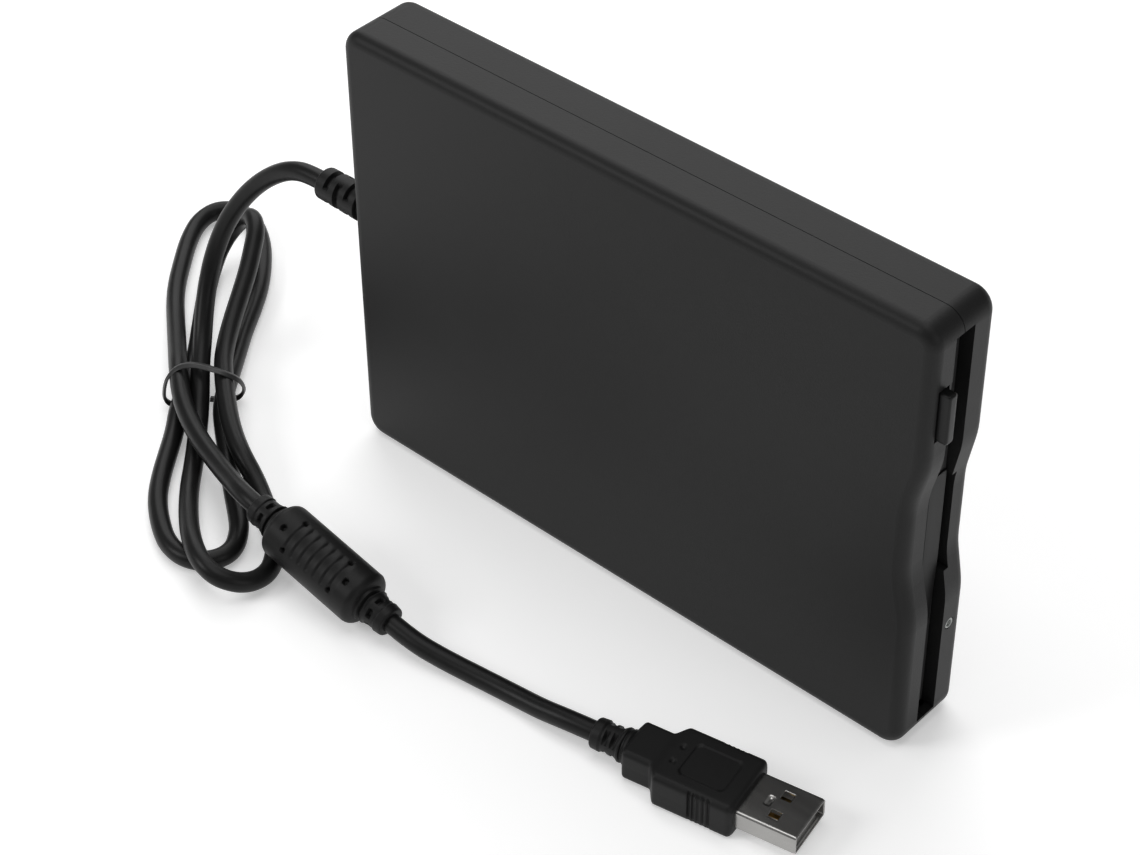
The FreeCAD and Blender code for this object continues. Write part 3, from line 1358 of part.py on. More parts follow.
def ellipse_prism(centre, half_length, half_width, low, high):
    """An upright prism with an elliptical outline."""
    outline_curve = doc.addObject("Part::Ellipse", "Ellipse")
    outline_curve.setExpression("MajorRadius", bound(half_length))
    outline_curve.setExpression("MinorRadius", bound(half_width))
    outline_curve.setExpression("Placement.Base.x", bound(centre[0]))
    outline_curve.setExpression("Placement.Base.y", bound(centre[1]))
    outline_curve.setExpression("Placement.Base.z", bound(low))
    prism = doc.addObject("Part::Extrusion", "Prism")
    prism.Base = outline_curve
    prism.DirMode = "Custom"
    prism.Dir = FreeCAD.Vector(0, 0, 1)
    prism.setExpression("LengthFwd", bound(less(high, low)))
    prism.Solid = True
    return prism


HANK_TURN = FreeCAD.Rotation(FreeCAD.Vector(0, 0, 1), -45)


def make_hank():
    """The bundled cord as one solid of its outer shape, and the tie round its waist.

    It is drawn along its own long axis, then turned to lie where it does.
    """
    low_layers = ("0", "hank_thickness")
    front_middle = ("hank_front_x", "hank_front_side")
    back_middle = ("hank_back_x", "hank_back_side")
    front = ellipse_prism(front_middle, "hank_front_half", "hank_front_width", *low_layers)
    back = ellipse_prism(back_middle, "hank_back_half", "hank_back_width", *low_layers)
    rise = ellipse_prism(back_middle, "hank_rise_half", "hank_rise_width", "0", "hank_rise")
    waist = around("hank_neck_side", "hank_neck_width")
    neck = block(("hank_back_x", "hank_front_x"), waist, low_layers)
    lift_y = ("hank_front_side", plus("hank_front_side", "hank_lift_width"))
    lift = block(("hank_lift_rear", "hank_lift_front"), lift_y, ("0", "hank_lift"))
    bundle = join(front, back, rise, neck, lift)
    bundle.Placement = placed_at((0, 0, 0), HANK_TURN)

    skin = "tie_thickness"
    tie_x = around("tie_x", "tie_width")
    tie_y = (less(waist[0], skin), plus(waist[1], skin))
    outer = block(tie_x, tie_y, ("0", plus("hank_thickness", skin)))
    inner = block(tie_x, waist, (skin, "hank_thickness"))
    band = cut(outer, inner)
    middle = "hank_thickness / 2"
    loop_place = (less(waist[0], "tie_loop / 2"), middle)
    loop = tube("x", loop_place, tie_x, "tie_loop / 2", f"tie_loop / 2 - {skin}")
    tail_y = (tie_y[1], plus(tie_y[1], "tie_tail"))
    tail = rod("y", ("tie_x", middle), tail_y, "tie_twist / 2")
    tie = join(band, loop, tail)
    tie.Placement = placed_at((0, 0, 0), HANK_TURN)
    piece("twist_tie", tie)

    groove = group(band)
    groove.Placement = placed_at((0, 0, 0), HANK_TURN)
    room_x = (less("0", "ferrite_length", "ferrite_relief"), "hank_gap")
    room = group(rod("x", ("0", "0"), room_x, plus("ferrite_radius", "hank_gap")))
    room.Placement = ferrite_placement()
    piece("cable_hank", cut(bundle, groove, room))


def ferrite_placement():
    """Where the ferrite sleeve's right end is, and how it turns and tilts."""
    rotation = FreeCAD.Rotation(FreeCAD.Vector(0, 0, 1), size("ferrite_turn")).multiply(
        FreeCAD.Rotation(FreeCAD.Vector(0, 1, 0), size("ferrite_tilt")))
    return placed_at([size(f"ferrite_{axis}") for axis in "xyz"], rotation)


def make_ferrite():
    """The moulded sleeve with the ferrite ring inside, drawn back from its right end along its axis."""
    axis = ("0", "0")
    span = ("-ferrite_length", "0")
    edge = "ferrite_chamfer"
    barrel = rod("x", axis, (plus(span[0], edge), less(span[1], edge)), "ferrite_radius")
    ends = [
        cone("x", axis, (span[0], plus(span[0], edge)), less("ferrite_radius", edge), "ferrite_radius"),
        cone("x", axis, (less(span[1], edge), span[1]), "ferrite_radius", less("ferrite_radius", edge)),
    ]
    left_end = FreeCAD.Vector(-size("ferrite_length"), 0, 0)
    collars = [
        relief(3, "relief_base", "collar_tip", "ferrite_relief", FreeCAD.Placement()),
        relief(3, "relief_base", "collar_tip", "ferrite_relief", FreeCAD.Placement(left_end, half_turn())),
    ]
    ring_x = (plus(span[0], "ferrite_end"), less(span[1], "ferrite_end"))
    room = tube("x", axis, ring_x, "ferrite_core_radius", "ferrite_bore")
    cover = cut(join(barrel, *ends, *collars), room)
    core = tube("x", axis, ring_x, "ferrite_core_radius", "ferrite_bore")
    for solid in (cover, core):
        solid.Placement = ferrite_placement()
    piece("ferrite_cover", cover)
    piece("ferrite_core", core)


def plug_placement():
    """Where the tip of the plug's strain relief is, and how the plug turns on the surface."""
    rotation = FreeCAD.Rotation(FreeCAD.Vector(0, 0, 1), size("plug_turn"))
    return placed_at((size("plug_x"), size("plug_y"), size("plug_thickness") / 2), rotation)


def make_plug():
    """The USB plug, drawn along +X from the tip of its strain relief: grip, shell, tongue and contacts."""
    neck_start = "plug_relief"
    grip_start = plus(neck_start, "plug_neck_length")
    face = plus(grip_start, "plug_grip_length")
    body = new_body("plug_body")
    middle = "0"
    thick = around(middle, "plug_thickness")
    feature(body, "Pad", "XY_Plane", thick, rectangle((grip_start, face), around(middle, "plug_width")))
    rounded(body, "plug_round", lambda edge: edge.BoundBox.ZLength > 1)
    top = size("plug_thickness") / 2
    rounded(body, "plug_round / 2", lambda edge: near(abs(edge.BoundBox.Center.z), top))
    feature(body, "Pad", "XY_Plane", around(middle, "plug_neck_thickness"),
            rectangle((neck_start, plus(grip_start, "plug_round")), around(middle, "plug_neck_width")))
    panel_x = (less(face, "plug_panel", "plug_round"), less(face, "plug_round"))
    panel = rectangle(panel_x, around(middle, "plug_panel_width"))
    for low, high in ((less(thick[1], "plug_panel_sink"), thick[1]),
                      (thick[0], plus(thick[0], "plug_panel_sink"))):
        feature(body, "Pocket", "XY_Plane", (low, high), panel)
    shell_y = around(middle, "shell_width")
    shell_z = around(middle, "shell_height")
    mouth = rectangle(shell_y, shell_z)
    feature(body, "Pocket", "YZ_Plane", (less(face, "shell_inside"), face), mouth)
    collar = relief(3, "collar_tip", "relief_base", "plug_relief", FreeCAD.Placement())
    grip = join(body, collar)
    whole_shell = (less(face, "shell_inside"), plus(face, "shell_length"))
    outer = block(whole_shell, shell_y, shell_z)
    inside_y = around(middle, "shell_width - 2 * shell_sheet")
    inside_z = around(middle, "shell_height - 2 * shell_sheet")
    inner = block(whole_shell, inside_y, inside_z)
    holes = [
        block(around(plus(face, "shell_hole_back"), "shell_hole"), around(y, "shell_hole"), shell_z)
        for y in ("shell_hole_pitch / 2", "-shell_hole_pitch / 2")
    ]
    sleeve = cut(outer, inner, *holes)
    tongue_z = (inside_z[0], plus(inside_z[0], "tongue_depth"))
    tongue_x = (less(face, "shell_inside"), plus(face, "plug_tongue_length"))
    insulator = group(block(tongue_x, inside_y, tongue_z))
    contact_x = (plus(face, "contact_start"), less(tongue_x[1], "contact_end"))
    contact_z = (tongue_z[1], plus(tongue_z[1], "contact_height"))
    contacts = [
        block(contact_x, around(f"{place} * contact_pitch", "contact_width"), contact_z)
        for place in (-1.5, -0.5, 0.5, 1.5)
    ]
    for label, solid in (("plug_body", grip), ("plug_shell", sleeve), ("plug_tongue", insulator),
                         ("plug_contacts", group(*contacts))):
        solid.Placement = plug_placement().multiply(solid.Placement)
        piece(label, solid)


def make_cord():
    """The two free stretches of cord: from the drive to the hank, and from the ferrite to the plug."""
    start = (-size("case_length") / 2 - size("relief_length"), size("exit_offset"),
             size("case_height") / 2 + size("exit_rise"))
    make_cord_tube("cable_lead", [start, *LEAD_POINTS])
    sleeve_tip = ferrite_placement().multVec(FreeCAD.Vector(size("ferrite_relief"), 0, 0))
    plug_tip = plug_placement().Base
    make_cord_tube("cable_tail", [tuple(sleeve_tip), *TAIL_POINTS, tuple(plug_tip)])


make_top_cover()
make_bottom_cover()
make_feet()
make_case_screws()
make_frame()
make_slide()
make_button()
make_holder()
make_latch()
make_door()
make_entry()
make_spindle()
make_carriage()
make_rail()
make_stepper()
make_drive_board()
make_switches()
make_usb_board()
make_exit()
make_hank()
make_ferrite()
make_plug()
make_cord()
doc.recompute()

for made in doc.Objects:
    if "Invalid" in made.State or "Error" in made.State:
        raise ValueError(f"{made.Name} ({made.Label}): {made.State}")
for made in pieces:
    if made.Shape.isNull() or not made.Shape.isValid():
        raise ValueError(f"{made.Label} has no valid shape")

os.makedirs("parts", exist_ok=True)
for made in pieces:
    made.Shape.exportStep(f"parts/{made.Label}.step")
print(f"{len(pieces)} pieces")
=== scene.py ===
# %% [markdown]
# # An external floppy disk drive, dressed for a studio
#
# The drive stands on one long edge, and its cord lies beside it in a tied hank. The solid model
# already says where every part sits and how it moves. This lesson gives each part its surface:
# moulded black plastic, a soft black cord, nickel, steel and circuit board. New shapes are worked
# out with numpy, as whole arrays of points.

# %% Load the model
import json
import math

import bmesh
import bpy
import numpy as np
from mathutils import Matrix, Vector


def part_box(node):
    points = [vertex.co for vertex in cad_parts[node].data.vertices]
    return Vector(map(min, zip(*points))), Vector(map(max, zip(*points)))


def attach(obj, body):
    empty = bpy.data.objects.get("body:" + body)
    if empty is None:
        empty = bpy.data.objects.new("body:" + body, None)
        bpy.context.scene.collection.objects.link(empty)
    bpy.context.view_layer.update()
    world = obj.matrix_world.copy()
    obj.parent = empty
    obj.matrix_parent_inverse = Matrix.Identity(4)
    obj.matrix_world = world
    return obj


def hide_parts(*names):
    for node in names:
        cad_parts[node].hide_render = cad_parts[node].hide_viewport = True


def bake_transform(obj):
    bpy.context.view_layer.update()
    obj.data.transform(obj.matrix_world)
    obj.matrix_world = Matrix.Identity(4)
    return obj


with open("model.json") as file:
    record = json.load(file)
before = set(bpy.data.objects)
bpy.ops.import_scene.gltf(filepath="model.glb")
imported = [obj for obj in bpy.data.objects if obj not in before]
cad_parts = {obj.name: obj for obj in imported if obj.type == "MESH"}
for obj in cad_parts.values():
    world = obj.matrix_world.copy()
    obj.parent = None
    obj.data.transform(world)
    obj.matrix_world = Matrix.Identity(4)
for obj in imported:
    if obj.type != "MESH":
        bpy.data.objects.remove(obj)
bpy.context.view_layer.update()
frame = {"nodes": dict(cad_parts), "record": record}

MM = 0.001

# %% [markdown]
# ## The camera
#
# A long lens from above and to the right shows the big face, the top edge and the narrow front end
# with its slot. A camera looks along its own -Z, so its axes are built from three angles: how far
# it turns about the vertical, how far it looks down, and a small roll. Tracking an empty object
# would be shorter, but it leaves out the roll, and three angles say all of it.

# %% Camera
CAMERA_PLACE = (0.28061, -0.33006, 0.40919)
CAMERA_YAW, CAMERA_PITCH, CAMERA_ROLL = (math.radians(a) for a in (-42.387, 40.740, -0.521))
LENS_MM = 89.62

forward = Vector((
    math.sin(CAMERA_YAW) * math.cos(CAMERA_PITCH),
    math.cos(CAMERA_YAW) * math.cos(CAMERA_PITCH),
    -math.sin(CAMERA_PITCH),
))
level = Vector((math.cos(CAMERA_YAW), -math.sin(CAMERA_YAW), 0.0))
upward = level.cross(forward)
across = math.cos(CAMERA_ROLL) * level + math.sin(CAMERA_ROLL) * upward
above = math.cos(CAMERA_ROLL) * upward - math.sin(CAMERA_ROLL) * level

camera_data = bpy.data.cameras.new("camera")
camera_data.lens = LENS_MM
camera_data.sensor_width = 36.0
camera_data.clip_start, camera_data.clip_end = 0.01, 50.0
camera = bpy.data.objects.new("camera", camera_data)
bpy.context.collection.objects.link(camera)
axes = Matrix((across, above, -forward)).transposed()
camera.matrix_world = Matrix.Translation(CAMERA_PLACE) @ axes.to_4x4()
bpy.context.scene.camera = camera
print("camera looks along", [round(c, 3) for c in forward])

# %% [markdown]
# ## The cord's line
#
# The cord is one piece of soft round cable. It leaves the drive's rear end, falls to the surface,
# runs twice round in a flat hank that a tie pinches at the waist, passes through the ferrite
# sleeve and ends at the plug. A spline of order three with these control points draws it, so it
# bends as a cable does. Where strands cross, the upper one is a diameter higher. The points are
# millimetres, in order from the drive to the plug. A cloth or rope simulation could drop a cord in
# place, but it would settle in folds of its own, while points put each fold where it belongs.

# %% Points of the cord
EXIT_RUN = [
    (-88.0, 0.3, 53.0), (-95.9, 0.3, 53.0), (-100.9, 0.1, 51.7), (-105.6, -0.4, 49.0),
    (-110.4, -1.5, 44.9), (-114.7, -3.3, 39.5), (-117.9, -5.6, 33.3), (-119.4, -8.4, 26.8),
    (-119.1, -11.8, 20.3), (-116.8, -15.9, 14.6), (-113.2, -20.3, 10.0), (-109.3, -24.8, 7.4),
]
FRONT_LOOP = [
    (-104.6, -29.4, 5.2), (-101.4, -32.9, 2.8), (-96.6, -38.0, 2.2), (-91.0, -44.0, 2.2),
    (-85.0, -50.8, 2.6), (-76.8, -58.2, 4.6), (-69.1, -64.0, 6.7), (-62.8, -67.2, 6.9),
    (-57.4, -67.2, 5.6), (-53.7, -63.4, 3.6), (-53.4, -57.6, 2.3), (-56.4, -52.4, 2.2),
    (-62.0, -47.6, 2.2), (-69.5, -43.0, 2.5), (-76.1, -39.8, 4.0), (-81.9, -38.0, 6.2),
    (-88.1, -34.7, 6.8), (-94.6, -30.3, 7.2),
]
RAISED_LOOP = [
    (-105.7, -21.4, 7.5), (-110.3, -16.3, 7.7), (-114.9, -9.9, 8.7), (-118.9, -3.4, 10.3),
    (-122.3, 2.3, 12.2), (-125.4, 6.9, 14.2), (-128.2, 10.9, 16.0), (-132.2, 13.6, 16.3),
    (-136.2, 14.6, 13.9), (-139.2, 14.2, 10.4), (-140.6, 12.0, 7.3), (-140.2, 8.8, 4.9),
    (-138.2, 4.9, 3.2), (-135.0, 0.4, 2.4), (-131.2, -4.2, 2.2), (-125.2, -10.8, 2.3),
    (-118.0, -18.6, 2.7),
]
SIDE_LOOP = [
    (-111.3, -27.1, 3.2), (-106.3, -34.7, 3.0), (-102.0, -39.6, 2.3), (-97.6, -45.6, 2.2),
    (-93.6, -51.0, 2.2), (-88.6, -56.8, 2.2), (-82.6, -61.4, 2.2), (-76.2, -65.0, 2.2),
    (-70.2, -65.6, 2.2), (-65.4, -63.0, 2.2), (-63.9, -57.6, 2.2), (-67.6, -52.2, 2.2),
    (-72.2, -48.6, 2.2), (-77.0, -45.2, 2.2), (-82.4, -41.2, 2.2), (-88.0, -36.8, 2.2),
    (-94.5, -32.0, 2.3), (-100.2, -27.3, 2.9),
]
OUTER_LOOP = [
    (-105.0, -20.7, 3.3), (-110.8, -13.0, 2.6), (-116.2, -5.9, 2.2), (-120.6, 1.0, 2.2),
    (-125.6, 8.2, 2.2), (-131.8, 15.0, 2.2), (-138.2, 20.7, 2.3), (-144.6, 24.2, 2.8),
    (-150.8, 24.8, 3.0), (-155.2, 21.6, 2.8), (-155.4, 16.0, 2.3), (-151.6, 9.2, 2.2),
    (-145.6, 1.6, 2.2), (-141.0, -4.0, 2.2), (-136.0, -9.0, 2.3), (-129.6, -14.4, 3.2),
    (-119.7, -22.6, 5.4),
]
CROSSING_RUN = [
    (-112.7, -28.4, 7.3), (-104.9, -34.5, 7.6), (-98.5, -38.3, 7.5), (-90.8, -41.8, 7.7),
    (-82.8, -44.7, 8.4), (-74.9, -47.7, 10.0), (-66.1, -51.1, 12.5),
]
PLUG_RUN = [
    (-57.1, -51.3, 10.9), (-29.6, -52.2, 6.2), (-16.4, -52.5, 3.9), (-8.4, -51.2, 2.8),
    (0.4, -49.7, 2.3), (8.6, -48.7, 2.3), (15.6, -48.5, 3.1), (21.8, -48.0, 4.2),
    (30.2, -46.4, 4.2),
]
CORD_POINTS = (
    EXIT_RUN + FRONT_LOOP + RAISED_LOOP + SIDE_LOOP + OUTER_LOOP + CROSSING_RUN + PLUG_RUN
)
CORD_RADIUS = 2.15
CORD_EXIT = (-91.0, 0.3, 53.0)
print(len(CORD_POINTS), "control points")

# %% [markdown]
# ## From points to a smooth line
#
# Blender's own curves know how to draw a spline, so the control points are handed to one, and the
# smooth line is read back from it as an array. The curve object has then done its work and is
# removed. Adding up the steps between neighbouring points measures the cord.

# %% The cord's smooth line


def spline_line(name, points, resolution=8):
    """The points, in millimetres, of a NURBS line of order three with these control points."""
    data = bpy.data.curves.new(name, "CURVE")
    data.dimensions = "3D"
    spline = data.splines.new("NURBS")
    spline.points.add(len(points) - 1)
    placed = np.column_stack([np.asarray(points) * MM, np.ones(len(points))])
    spline.points.foreach_set("co", placed.ravel())
    spline.order_u = 3
    spline.use_endpoint_u = True
    spline.resolution_u = resolution
    curve = bpy.data.objects.new(name, data)
    drawn = bpy.data.meshes.new_from_object(curve)
    places = np.empty(len(drawn.vertices) * 3)
    drawn.vertices.foreach_get("co", places)
    bpy.data.objects.remove(curve)
    return places.reshape(-1, 3) / MM


def distances(line):
    """How far along a line each of its points is."""
    return np.concatenate([[0.0], np.cumsum(np.linalg.norm(np.diff(line, axis=0), axis=1))])


cord_line = spline_line("cord_line", CORD_POINTS)
cord_walk = distances(cord_line)
print(f"the cord is {cord_walk[-1] * MM:.3f} m long")

# %% [markdown]
# ## Rings round a line
#
# A tube is a ring of points carried along a line. A bevelled curve would make one too, but with the
# same section all the way. As a grid of points, each ring can have a shape of its own, which the
# moulded pieces need. At each place three directions are wanted: along the line, to the side and
# over it. The side is square to the line and to one fixed lead direction, so the ring never twists.

# %% Rings round the cord's line
UP = np.array([0.0, 0.0, 1.0])
FULL_TURN = 2.0 * math.pi
CORD_SIDES = 20


def sweep(line, side, over, lead=UP):
    """A grid of points round a line. side and over say how far each point of each ring lies in the
    two directions square to the line: side is lead x along, and over is along x side."""
    along = np.gradient(line, axis=0)
    along /= np.linalg.norm(along, axis=1, keepdims=True)
    sides = np.cross(lead, along)
    sides /= np.linalg.norm(sides, axis=1, keepdims=True)
    overs = np.cross(along, sides)
    return (line[:, None] + np.asarray(side)[..., None] * sides[:, None]
            + np.asarray(over)[..., None] * overs[:, None])


def turns(sides):
    """Evenly spaced angles round a ring, in one row."""
    return np.linspace(0.0, FULL_TURN, sides, endpoint=False)[None]


def round_ring(radius, turn):
    """The two offsets of a round section's points: radius x cos and radius x sin of each angle."""
    return radius * np.cos(turn), radius * np.sin(turn)


def capped(grid):
    """A grid of rings with each end drawn together to its middle point, which closes it."""
    middles = [np.broadcast_to(ring.mean(axis=0), ring.shape)[None] for ring in (grid[0], grid[-1])]
    return np.concatenate([middles[0], grid, middles[1]])


cord_grid = capped(sweep(cord_line, *round_ring(CORD_RADIUS, turns(CORD_SIDES))))
print(f"the cord's grid is {cord_grid.shape[0]} rings of {cord_grid.shape[1]} points")

# %% [markdown]
# ## From a grid to a piece
#
# Four neighbouring points of a grid make a face, and the last column meets the first, which closes
# the tube. Points that fall together, as in a cap's middle, are merged. Each new piece rides on one
# of the drive's bodies, unless none is given, and may stand for parts of the solid model, as a finer
# form of them. The finishes are made further on, so a piece notes the one that it waits for.

# %% Build the cord
MERGE_GAP = 0.004
WAITING = {}


def quads(rows, columns):
    """The corners of each face between neighbouring rings, whose last column meets the first."""
    here = np.arange(rows * columns).reshape(rows, columns)
    beside = np.roll(here, -1, axis=1)
    return np.stack([here[:-1], beside[:-1], beside[1:], here[1:]], axis=-1).reshape(-1, 4)


def build(name, grids, finish, body, *stands_for, sharp=40.0, dropped=None):
    """One piece from grids of rings in millimetres. It rides on a body if one is given, and may stand
    for some of the model's parts. dropped marks the faces that are left out."""
    starts = np.cumsum([0] + [grid.shape[0] * grid.shape[1] for grid in grids])
    corners = np.concatenate([quads(*grid.shape[:2]) + start for grid, start in zip(grids, starts)])
    points = np.concatenate([grid.reshape(-1, 3) for grid in grids]) * MM
    if dropped is not None:
        corners = corners[~dropped(points[corners].mean(axis=1) / MM)]
    mesh = bpy.data.meshes.new(name)
    mesh.from_pydata(points, [], corners.tolist())
    shape = bmesh.new()
    shape.from_mesh(mesh)
    bmesh.ops.remove_doubles(shape, verts=shape.verts, dist=MERGE_GAP * MM)
    shape.to_mesh(mesh)
    shape.free()
    mesh.shade_smooth()
    mesh.set_sharp_from_angle(angle=math.radians(sharp))
    piece = bpy.data.objects.new(name, mesh)
    bpy.context.collection.objects.link(piece)
    if body:
        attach(piece, body)
    if stands_for:
        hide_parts(*stands_for)
    WAITING[name] = finish
    print(f"{name}: {len(mesh.polygons)} faces")
    return piece


cord = build("cord", [cord_grid], "cord_black", "housing", "cable_lead", "cable_hank", "cable_tail")

# %% [markdown]
# ## Moulded reliefs
#
# Where the cord enters something, a moulded sleeve keeps it from kinking. Slots cut most of the way
# round let the sleeve flex, and short bridges between the rings keep it whole. A radius that depends
# on the place along the sleeve and on the turn round it gives the whole shape: the tapered skin,
# less a cut wherever both a slot and the space between bridges are met. The edges of each cut are
# smooth steps, so one grid holds them. Boolean cuts would need as many cutters as there are slots,
# and would leave edges sharper than a mould can make.

# %% Steps and slots
CUT_SOFT, BRIDGE_SOFT = 0.3, 0.25


def ramp(value, edge, soft):
    """Nought below an edge and one above it, by a smooth step as wide as soft."""
    part = np.clip((value - edge) / soft + 0.5, 0.0, 1.0)
    return part * part * (3.0 - 2.0 * part)


def band(value, low, high, soft):
    """One between two edges and nought outside them."""
    return ramp(value, low, soft) - ramp(value, high, soft)


def slots(along, turn, places, width, depth, bridges, half_bridge, first_turn, step_turn):
    """The cut of several slots across a sleeve, each with some bridges across it."""
    cut = 0.0
    for number, place in enumerate(places):
        wave = -np.cos(bridges * (turn - first_turn - number * step_turn))
        between = ramp(wave, -math.cos(bridges * half_bridge), BRIDGE_SOFT)
        cut = cut + band(along, place - width / 2, place + width / 2, CUT_SOFT) * between * depth
    return cut


# %% [markdown]
# ## Rounded ends
#
# No moulded edge is sharp. Near a piece's end its section is drawn in along a quarter circle, and
# the rings stand closer together there, so that the curve stays smooth. A Bevel modifier would
# round the ends as well, but not the rims of the slots, so both are left to the formula.

# %% Rounded ends, and places along a piece
END_RINGS = 7


def drawn_in(gap, radius):
    """How far a rounded end lies inside its full size, at some gap from the end: the circle
    radius - sqrt(radius^2 - (radius - gap)^2)."""
    inside = radius - np.clip(gap, 0.0, radius)
    return radius - np.sqrt(radius**2 - inside**2)


def stations(length, pace, end_round=0.6):
    """Places along a piece, closer together in its rounded ends."""
    ends = np.linspace(0.0, end_round, END_RINGS) ** 2 / end_round
    middle = np.linspace(end_round, length - end_round, int((length - 2 * end_round) / pace))
    return np.concatenate([ends, middle[1:-1], length - ends[::-1]])[:, None]


def straight(start, direction, places):
    """Points on a straight line at some distances from its start."""
    return np.asarray(start) + places * np.asarray(direction)


# %% [markdown]
# ## The relief at the drive
#
# The sleeve that leaves the drive's rear end is slightly thicker at its root. Five slots cross it,
# each a quarter turn from the last, so it bends alike every way. Inside the wall it is thinner, and
# a collar behind the wall holds it in.

# %% The relief at the drive
RELIEF_LENGTH, RELIEF_SHOWN, RELIEF_SIDES, RELIEF_PACE = 20.6, 18.0, 96, 0.16
TIP_RADIUS, TIP_GROWTH, TIP_ROUND = 3.65, 0.35, 0.45
COLLAR_START, IN_WALL_RADIUS, COLLAR_RADIUS = 20.0, 3.5, 4.75
RELIEF_SLOTS = {"places": (3.3, 6.4, 9.5, 12.6, 15.7), "width": 1.25, "depth": 0.95, "bridges": 2,
                "half_bridge": math.radians(26), "first_turn": 0.0, "step_turn": math.pi / 2}

along = stations(RELIEF_LENGTH, RELIEF_PACE)
turn = turns(RELIEF_SIDES)
skin = TIP_RADIUS + TIP_GROWTH * along / RELIEF_SHOWN - drawn_in(along, TIP_ROUND)
inner_skin = np.where(along < COLLAR_START, IN_WALL_RADIUS, COLLAR_RADIUS)
radius = np.where(along < RELIEF_SHOWN, skin, inner_skin) - slots(along, turn, **RELIEF_SLOTS)
relief_line = straight(CORD_EXIT, (1.0, 0.0, 0.0), along)
build("cord_relief", [capped(sweep(relief_line, *round_ring(radius, turn)))],
      "mould_black", "housing", "cable_grommet")

# %% [markdown]
# ## The ferrite sleeve
#
# A ferrite ring round the cord stops it from acting as an aerial. Its moulded cover is a barrel with
# a short slotted relief, or tail, at each end. A straight barrel would be simpler, but the cord bends
# slightly on its way through, so the cover's path is a stretch of the cord's own line. The tails are
# made first: a cone with a waist, a neck and one ring of slots.

# %% The sleeve's path and tails
SLEEVE_START, SLEEVE_END = (-61.6, -51.2, 11.7), (-23.0, -52.4, 5.1)
SLEEVE_SIDES, PANEL_TURN = 132, math.radians(118)
TAIL_LENGTH, TAIL_RADIUS, TAIL_GROWTH, TAIL_ROUND = 7.0, 3.3, 0.9, 0.4
TAIL_WAISTS = ((2.1, 5.2, 0.3), (5.5, 6.1, 0.75))
TAIL_SLOTS = {"places": (3.7,), "width": 0.9, "depth": 0.9, "bridges": 6,
              "half_bridge": math.radians(13), "first_turn": PANEL_TURN, "step_turn": 0.0}

reach = [float(cord_walk[np.linalg.norm(cord_line - place, axis=1).argmin()])
         for place in (SLEEVE_START, SLEEVE_END)]
sleeve_length = reach[1] - reach[0]
along = stations(sleeve_length, RELIEF_PACE)
turn = turns(SLEEVE_SIDES)
sleeve_line = np.column_stack([
    np.interp(reach[0] + along[:, 0], cord_walk, cord_line[:, axis]) for axis in range(3)])

from_end = np.minimum(along, sleeve_length - along)
tail = TAIL_RADIUS + TAIL_GROWTH * from_end / TAIL_LENGTH - drawn_in(from_end, TAIL_ROUND)
for start, stop, depth in TAIL_WAISTS:
    tail = tail - depth * band(from_end, start, stop, CUT_SOFT)
tail = tail - slots(from_end, turn, **TAIL_SLOTS)
print(f"the sleeve is {sleeve_length:.1f} mm long, with tails of {TAIL_LENGTH} mm")

# %% [markdown]
# ## The sleeve's barrel
#
# One panel of the barrel has seven shallow scalloped grooves for the fingers: each drops by a step
# and comes back up in a slope. There is a small dimple at each corner of the panel and a pin mark
# beyond each end, and a fine line where the mould's halves met. All of them only change the radius,
# so they are added up in one array, and each ring then takes the radius of the barrel or the tail.

# %% The sleeve's barrel
SLEEVE_RADIUS, SLEEVE_ROUND = 6.1, 1.7
PANEL_HALF, PANEL_SOFT = math.radians(37), math.radians(9)
GROOVES, GROOVE_PITCH, GROOVE_LENGTH, GROOVE_STEP, GROOVE_DEPTH = 7, 2.25, 1.6, 0.45, 0.34
PIN, DIMPLE, MARK_SOFT, MARK_DEPTH = 0.62, 0.5, 0.25, 1.0
MARKS = ((-9.3, 0, PIN), (9.3, 0, PIN), (-6.75, -1, DIMPLE), (-6.75, 1, DIMPLE),
         (6.9, -1, DIMPLE), (6.9, 1, DIMPLE))
PARTING_HEIGHT, PARTING_WIDTH = 0.07, 0.2

barrel = SLEEVE_RADIUS - drawn_in(from_end - TAIL_LENGTH, SLEEVE_ROUND)
middle = along - sleeve_length / 2
swerve = (turn - PANEL_TURN + math.pi) % FULL_TURN - math.pi
in_panel = 1.0 - ramp(np.abs(swerve), PANEL_HALF, PANEL_SOFT)
for centre in (np.arange(GROOVES) - GROOVES // 2) * GROOVE_PITCH:
    scallop = np.clip(1.0 - (middle - centre) / GROOVE_LENGTH, 0.0, 1.0)
    barrel = barrel - GROOVE_DEPTH * ramp(middle, centre, GROOVE_STEP) * scallop * in_panel
for centre, edge, size in MARKS:
    gap = np.hypot(middle - centre, SLEEVE_RADIUS * (swerve - edge * PANEL_HALF))
    barrel = barrel - MARK_DEPTH * (1.0 - ramp(gap, size, MARK_SOFT))
from_parting = (np.abs(swerve) - math.pi / 2) * SLEEVE_RADIUS
barrel = barrel + PARTING_HEIGHT * np.exp(-((from_parting / PARTING_WIDTH) ** 2))
radius = np.where(from_end > TAIL_LENGTH, barrel, tail)
build("ferrite_sleeve", [capped(sweep(sleeve_line, *round_ring(radius, turn)))],
      "mould_black", "housing", "ferrite_cover")

# %% [markdown]
# ## The plug
#
# The plug's grip is moulded round its metal shell. In plan it is a narrow neck that swells by a
# smooth shoulder into a wide grip, and every cross-section is a rounded rectangle. A circle is a
# rounded rectangle too, one whose corners meet, so the round slotted relief, the neck and the grip
# are one surface: a profile of three numbers, half width, half height and corner, carried along the
# plug. Two separate shapes pushed into one another would show a hard line where they meet.

# %% Rounded rectangles


